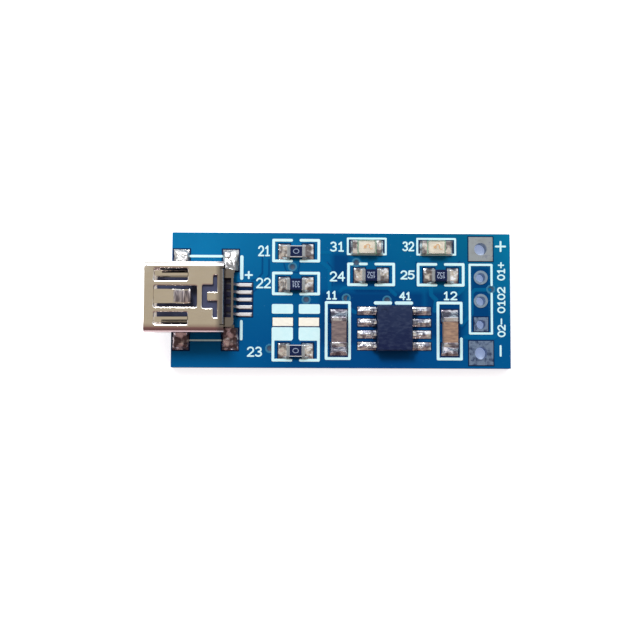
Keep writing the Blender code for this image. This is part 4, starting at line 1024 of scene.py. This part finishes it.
def mask_openings(finish):
    """Bare margins in the mask round every land, dark as painted shadow round the lands, and a dark block
    under the contact feet as painted shadow between them.
    """
    made = []
    top = TOP + MARGIN_HEIGHT
    root = TOP - 0.01 * MM
    for node in ("battery_plus_pad", "battery_minus_pad", "header_pad_3"):
        low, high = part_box(node)
        centre = middle_of(node)
        half_x, half_y = (high.x - low.x) / 2 + PAD_MARGIN, (high.y - low.y) / 2 + PAD_MARGIN
        corners = frame_corners(centre.x, centre.y, half_x, half_y)
        made += line(corners, 2.4 * PAD_MARGIN, True, root, top)
    lands = [("usb_tab_solder_%d" % number, TAB_MARGIN) for number in range(1, 5)]
    for kind, number, _ in CHIP_PARTS:
        lands += [("%s_%d_terminal_%s" % (kind, number, end), END_MARGIN) for end in "ab"]
    lands += [("charger_chip_lead_%d" % number, LEAD_MARGIN) for number in range(1, 9)]
    lands += [("spare_land_%d" % number, LAND_MARGIN) for number in (1, 2)]
    for node, margin in lands:
        made.append(block("opening", *grown(*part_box(node), margin), root, top, OPENING_ROUNDING))
    # Painted shadow: a dark block under the contact feet
    first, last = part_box("usb_contact_1"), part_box("usb_contact_5")
    feet_x = (first[1].x - 1.75 * MM, first[1].x + LEAD_MARGIN)
    feet_y = (last[0].y - TAB_MARGIN, first[1].y + TAB_MARGIN)
    made.append(block("opening", *feet_x, *feet_y, root, top, OPENING_ROUNDING))
    dress(join(made, "mask_openings"), finish, "solder_mask_board")


# Solder and metal pieces that take the CAD nodes' places

# Creases: their fineness, the share and fineness of the small ones, and where they fade out under a top
CREASE_SCALE = 1.6 / MM
SMALL_SHARE = 0.4
SMALL_SCALE = 2.7
CREASE_FADE = 0.12 * MM


def creased(obj, amount, seed, calm_from):
    """Moves each vertex along its normal by a smooth random height, fading out at the cap's top."""
    mesh = obj.data
    shift = Vector((seed * 3.1, seed * 1.7, 0))
    moves = []
    for vertex in mesh.vertices:
        place = vertex.co * CREASE_SCALE
        lift = noise.noise(place + shift) + SMALL_SHARE * noise.noise(place * SMALL_SCALE - shift)
        calm = min(max((calm_from - vertex.co.z) / CREASE_FADE, 0.1), 1.0)
        moves.append(vertex.normal * lift * amount * calm)
    for vertex, move in zip(mesh.vertices, moves):
        vertex.co += move


def cap_filling(node, body):
    """The part of the body that its metal cap hides, as a plain block up to the cap's top."""
    low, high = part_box(node)
    body_low, body_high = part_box(body)
    inner_low = Vector((max(low.x, body_low.x), max(low.y, body_low.y)))
    inner_high = Vector((min(high.x, body_high.x), min(high.y, body_high.y)))
    return block("filling", *grown(inner_low, inner_high, 0.015 * MM), body_low.z, high.z, 0.02 * MM)


def solder_piece(node, finish, slot, seed, voxel=0.045, amount=0.035, smoothing=3, body=None):
    """A node's solder remade as one soft skin with the creases of a hand-finished joint."""
    name = node + "_soldered"
    obj = copy_of(node, name)
    low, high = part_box(node)
    if body is not None:
        obj = join([obj, cap_filling(node, body)], name)
    remesh = obj.modifiers.new("skin", "REMESH")
    remesh.mode = "VOXEL"
    remesh.voxel_size = voxel * MM
    smooth = obj.modifiers.new("flow", "SMOOTH")
    smooth.factor = 0.6
    smooth.iterations = smoothing
    apply_all(obj)
    creased(obj, amount * MM, seed, high.z + (0.0 if body else 1.0 * MM))
    for vertex in obj.data.vertices:
        vertex.co.z = max(vertex.co.z, low.z)
    take(obj)
    bpy.ops.object.shade_smooth()
    return dress(obj, finish, slot, node)


def punched_edges(mesh, low, high, end_x, half_y):
    """Edges between a face that looks up, at a height from low to high, and an upright cut."""
    beside = {}
    for face in mesh.polygons:
        for key in face.edge_keys:
            beside.setdefault(key, []).append(face)
    chosen = []
    for edge in mesh.edges:
        faces = beside.get(edge.key, [])
        flats = [face for face in faces if face.normal.z > 0.85 and low < face.center.z < high]
        uprights = [face for face in faces if abs(face.normal.z) < 0.2]
        ends = [mesh.vertices[index].co for index in edge.vertices]
        within = all(end.x < end_x and abs(end.y) < half_y for end in ends)
        if within and len(faces) == 2 and len(flats) == 1 and len(uprights) == 1:
            chosen.append(edge.index)
    return chosen


def round_punched(obj, width, low, high, end_x, half_y):
    """Rounds the punched edges between two heights, up to an X and within a half width."""
    take(obj)
    bpy.ops.object.mode_set(mode="EDIT")
    bpy.ops.mesh.select_mode(type="EDGE")
    bpy.ops.mesh.select_all(action="DESELECT")
    bpy.ops.object.mode_set(mode="OBJECT")
    for index in punched_edges(obj.data, low, high, end_x, half_y):
        obj.data.edges[index].select = True
    bpy.ops.object.mode_set(mode="EDIT")
    bpy.ops.mesh.bevel(offset=width, segments=3, affect="EDGES", clamp_overlap=False)
    bpy.ops.mesh.select_mode(type="VERT")
    bpy.ops.object.mode_set(mode="OBJECT")


PLATE_ROUNDING = 0.14 * MM
LATCH_ROUNDING = 0.07 * MM


def shell_piece(finish):
    """The receptacle's shell, with the edges of its punched slots and latch drawn in and rounded."""
    obj = copy_of("usb_shell", "usb_shell_edged")
    bpy.ops.object.mode_set(mode="EDIT")
    # Cuts through the middle of the slots keep the flat faces free of slanting edges
    for y in (-SPRING_CUT_Y, 0.0, SPRING_CUT_Y):
        bpy.ops.mesh.select_all(action="SELECT")
        bpy.ops.mesh.bisect(plane_co=(0, y, 0), plane_no=(0, 1, 0))
        bpy.ops.mesh.mark_seam(clear=False)
    bpy.ops.mesh.select_all(action="SELECT")
    bpy.ops.mesh.dissolve_limited(angle_limit=math.radians(1.0), delimit={"SEAM"})
    bpy.ops.object.mode_set(mode="OBJECT")
    level = SHELL_HIGH.z
    # The flat plate's slots first, then the latch, which dips below the plate
    plate = (level - 0.01 * MM, level + 0.01 * MM, TOP_PLATE_END - 0.15 * MM, 4.0 * MM)
    latch = (level - 0.7 * MM, level - 0.02 * MM, TOP_PLATE_END - 1.5 * MM, 1.3 * MM)
    round_punched(obj, PLATE_ROUNDING, *plate)
    round_punched(obj, LATCH_ROUNDING, *latch)
    bpy.ops.object.shade_smooth_by_angle(angle=math.radians(40))
    weighted = obj.modifiers.new("flats", "WEIGHTED_NORMAL")
    weighted.mode = "FACE_AREA"
    weighted.weight = 100
    weighted.keep_sharp = True
    apply_all(obj)
    return dress(obj, finish, "tinned_steel", "usb_shell")


def lamp_inside(number, cavity, die):
    """Reflector floor, die and bond wire seen through a lamp's lens."""
    low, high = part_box("led_%d_lens" % number)
    centre = (low + high) / 2
    floor = low.z + 0.05 * MM
    sheet = 0.06 * MM
    half_x, half_y = (high.x - low.x) / 2 - 0.14 * MM, (high.y - low.y) / 2 - 0.12 * MM
    edges = about(centre, half_x, half_y)
    pad = block("lamp_%d_reflector" % number, *edges, floor, floor + sheet, 0.1 * MM)
    dress(pad, cavity, "lamp_substrate")
    z_low, z_high = floor + sheet, floor + 0.22 * MM
    die_edges = about(centre + Vector((-0.21, -0.02, 0)) * MM, 0.15 * MM, 0.15 * MM)
    made = [block("die", *die_edges, z_low, z_high, 0.03 * MM)]
    wire = [(-0.2, 0.0), (-0.05, 0.22), (0.15, 0.26), (0.3, 0.1), (0.22, -0.1), (0.4, -0.26), (0.55, -0.22)]
    points = [(centre.x + x * MM, centre.y + y * MM) for x, y in wire]
    wire_width = 0.09 * MM
    made += line(points, wire_width, False, z_high, z_high + sheet)
    dress(join(made, "lamp_%d_die" % number), die, "lamp_substrate")


# Camera, light and floor

VIEW_DISTANCE = 120 * MM
VIEW_TILT = math.radians(4.2)
VIEW_LEAN = math.radians(0.7)
VIEW_ROLL = math.radians(0.22)
VIEW_TARGET = Vector((LAYOUT_X - 2.212 * MM, -2.150 * MM, TOP))
LENS = 62.51

KEY_PLACE = (-0.06, 0.17, 0.24)
KEY_SIZE = 0.08
KEY_POWER = 0.62
KEY_COLOR = (0.97, 0.99, 1.0)

# The room's light, by share of the way from the front of the object to behind it
ROOM_AXIS = Vector((0.1, 1.0, 0.0)).normalized()
ROOM_STRENGTH = 1.1
ROOM_STOPS = [
    (0.0, (0.25, 0.17, 0.155)),
    (0.36, (0.36, 0.24, 0.215)),
    (0.46, (0.46, 0.40, 0.30)),
    (0.595, (0.46, 0.40, 0.30)),
    (0.645, (0.92, 0.96, 1.0)),
    (1.0, (0.92, 0.96, 1.0)),
]


def camera():
    """The photograph's view: from above, tilted to the lower long edge and a little to the mouth."""
    back = Vector((-math.sin(VIEW_LEAN), -math.sin(VIEW_TILT), math.cos(VIEW_TILT))).normalized()
    right = Vector((0, 1, 0)).cross(back).normalized()
    up = back.cross(right)
    right, up = (
        math.cos(VIEW_ROLL) * right + math.sin(VIEW_ROLL) * up,
        math.cos(VIEW_ROLL) * up - math.sin(VIEW_ROLL) * right,
    )
    data = bpy.data.cameras.new("camera")
    data.lens = LENS
    data.sensor_width = 36.0
    data.clip_start = 0.001
    obj = placed("camera", data)
    place = VIEW_TARGET + back * VIEW_DISTANCE
    rows = [(right[i], up[i], back[i], place[i]) for i in range(3)]
    obj.matrix_world = Matrix(rows + [(0, 0, 0, 1)])
    bpy.context.scene.camera = obj


def key_light():
    """A softbox behind the object's upper edge, turned to its middle."""
    data = bpy.data.lights.new("key", "AREA")
    data.shape = "SQUARE"
    data.size = KEY_SIZE
    data.energy = KEY_POWER
    data.color = KEY_COLOR
    obj = placed("key", data)
    obj.location = KEY_PLACE
    obj.rotation_euler = (-Vector(KEY_PLACE)).to_track_quat("-Z", "Y").to_euler()


def world_light():
    """A soft room: warm overhead, bright behind the object's upper edge, dusky rose in front."""
    world = bpy.data.worlds.new("studio")
    world.use_nodes = True
    bpy.context.scene.world = world
    tree = world.node_tree
    coordinates = tree.nodes.new("ShaderNodeTexCoord")
    dot = tree.nodes.new("ShaderNodeVectorMath")
    dot.operation = "DOT_PRODUCT"
    dot.inputs[1].default_value = ROOM_AXIS
    tree.links.new(coordinates.outputs["Generated"], dot.inputs[0])
    spread = tree.nodes.new("ShaderNodeMapRange")
    spread.inputs[1].default_value = -1.0
    spread.inputs[2].default_value = 1.0
    tree.links.new(dot.outputs["Value"], spread.inputs[0])
    ramp = tree.nodes.new("ShaderNodeValToRGB")
    set_stops(ramp.color_ramp, ROOM_STOPS)
    tree.links.new(spread.outputs[0], ramp.inputs[0])
    background = tree.nodes["Background"]
    background.inputs["Strength"].default_value = ROOM_STRENGTH
    tree.links.new(ramp.outputs[0], background.inputs["Color"])


def studio(paper):
    """Floor, light and plain colour handling."""
    deselect()
    bpy.ops.mesh.primitive_plane_add(size=1.2, location=(0, 0, -0.02 * MM))
    floor = bpy.context.active_object
    floor.name = "studio_floor"
    settle(floor)
    floor.data.materials.append(paper.material)
    key_light()
    world_light()
    bpy.context.scene.view_settings.view_transform = "Standard"
    bpy.context.scene.view_settings.look = "None"


def dress_nodes(finish, *nodes):
    for node in nodes:
        data = NODES[node].data
        data.materials.clear()
        data.materials.append(finish.material)


def dress_board():
    """Mask, copper, print, the resistors' codes, and pads."""
    dress_nodes(board_finish(), "circuit_board")
    copper_lines("copper_tracks", TRACKS, TRACK_HEIGHT, mask_finish("mask_over_copper", copper=0.5))
    copper_lines("isolation_gaps", ISOLATION_GAPS, TRACK_HEIGHT / 2, mask_finish("mask_over_gap", gap=0.6))
    vias(grained("via_rim"), grained("via_mouth"))
    mask_openings(grained("mask_opening"))
    legend(grained("legend_ink"))
    resistor_codes(grained("code_ink"))
    clean_pad = plated_finish("plated_pad", (0.31, 0.345, 0.37), (0.19, 0.21, 0.27), 0.08)
    ring_pad = plated_finish("header_ring", (0.24, 0.33, 0.44), (0.14, 0.19, 0.29), 0.08)
    stained_pad = plated_finish("stained_pad", (0.20, 0.28, 0.43), (0.035, 0.055, 0.12), 0.16)
    dress_nodes(clean_pad, "battery_plus_pad")
    dress_nodes(ring_pad, "header_pad_1", "header_pad_2")
    dress_nodes(stained_pad, "battery_minus_pad", "header_pad_3")
    dress_nodes(grained("land_solder"), "spare_land_1", "spare_land_2")


def dress_receptacle():
    """Shell, insulator, contacts and the solder over the shell's tabs."""
    shell_piece(steel_finish())
    dress_nodes(insulator_finish(), "usb_housing")
    dress_nodes(contact_finish(), *["usb_contact_%d" % number for number in range(1, 6)])
    # Tones of the tab solder: painted highlights and painted shade; the lower tabs' copy is darker and
    # pinker as painted shade on the front side, and the upper tabs get painted shade near the shell
    upper = ("upper_tab_solder", (0.57, 0.57, 0.56), (0.20, 0.19, 0.19), 0.3, 0.55, 0.12, 0.9)
    lower = ("lower_tab_solder", (0.70, 0.61, 0.65), (0.11, 0.08, 0.09), 0.26, 0.5, 0.2, 1.1)
    upper_tin = solder_finish(*upper, shaded=0.22)
    lower_tin = solder_finish(*lower)
    for number in range(1, 5):
        node = "usb_tab_solder_%d" % number
        tab_tin = upper_tin if middle_of(node).y > 0 else lower_tin
        solder_piece(node, tab_tin, "solder", number, amount=0.09)


# Seeds of the creases, counted on from here
FIRST_END_SEED = 11
LEAD_SEED = 40


def dress_joints():
    """Solder on the chip parts' ends and on the chip's leads."""
    # Each pair of tones is a painted highlight and a painted shade of the solder
    joint_tin = ((0.86, 0.85, 0.86), (0.20, 0.18, 0.19), 0.25, 0.5, 0.07, 1.2)
    cap_tin = ((0.58, 0.57, 0.61), (0.15, 0.13, 0.16), 0.25, 0.5, 0.07, 1.2)
    seed = FIRST_END_SEED
    for kind, number, held in CHIP_PARTS:
        body = "%s_%d_%s" % (kind, number, held)
        plated_at = middle_of(body).x if kind == "resistor" else None
        tones = cap_tin if kind == "capacitor" else joint_tin
        finish = solder_finish("%s_%d_solder" % (kind, number), *tones, plated_at=plated_at)
        for end in "ab":
            node = "%s_%d_terminal_%s" % (kind, number, end)
            solder_piece(node, finish, "solder", seed, smoothing=8, body=body)
            seed += 1
    # Its tones are a painted highlight and a painted shade
    lead_tin = solder_finish("lead_solder", (0.78, 0.78, 0.80), (0.20, 0.20, 0.26), 0.24, 0.5, 0.07, 1.6)
    for number in range(1, 9):
        solder_piece("charger_chip_lead_%d" % number, lead_tin, "solder", LEAD_SEED + number, 0.03, 0.03, 2)


def dress_bodies():
    """Bodies of the resistors, capacitors, lamps and the chip."""
    for number in range(1, 6):
        dress_nodes(resistor_finish(number), "resistor_%d_body" % number)
    greyish = dielectric_finish("capacitor_1_dielectric", (0.26, 0.20, 0.19), (0.11, 0.085, 0.095))
    reddish = dielectric_finish("capacitor_2_dielectric", (0.40, 0.26, 0.18), (0.17, 0.11, 0.09))
    dress_nodes(greyish, "capacitor_1_body")
    dress_nodes(reddish, "capacitor_2_body")
    dress_nodes(grained("lamp_substrate"), "led_1_base", "led_2_base")
    dress_nodes(lens_finish(), "led_1_lens", "led_2_lens")
    cavity, die = grained("lamp_reflector"), grained("lamp_die_gold")
    for number in (1, 2):
        lamp_inside(number, cavity, die)
    dress_nodes(moulding_finish(), "charger_chip_body")


camera()
studio(floor_finish())
dress_board()
dress_receptacle()
dress_joints()
dress_bodies()
bpy.data.objects.remove(PATTERN)
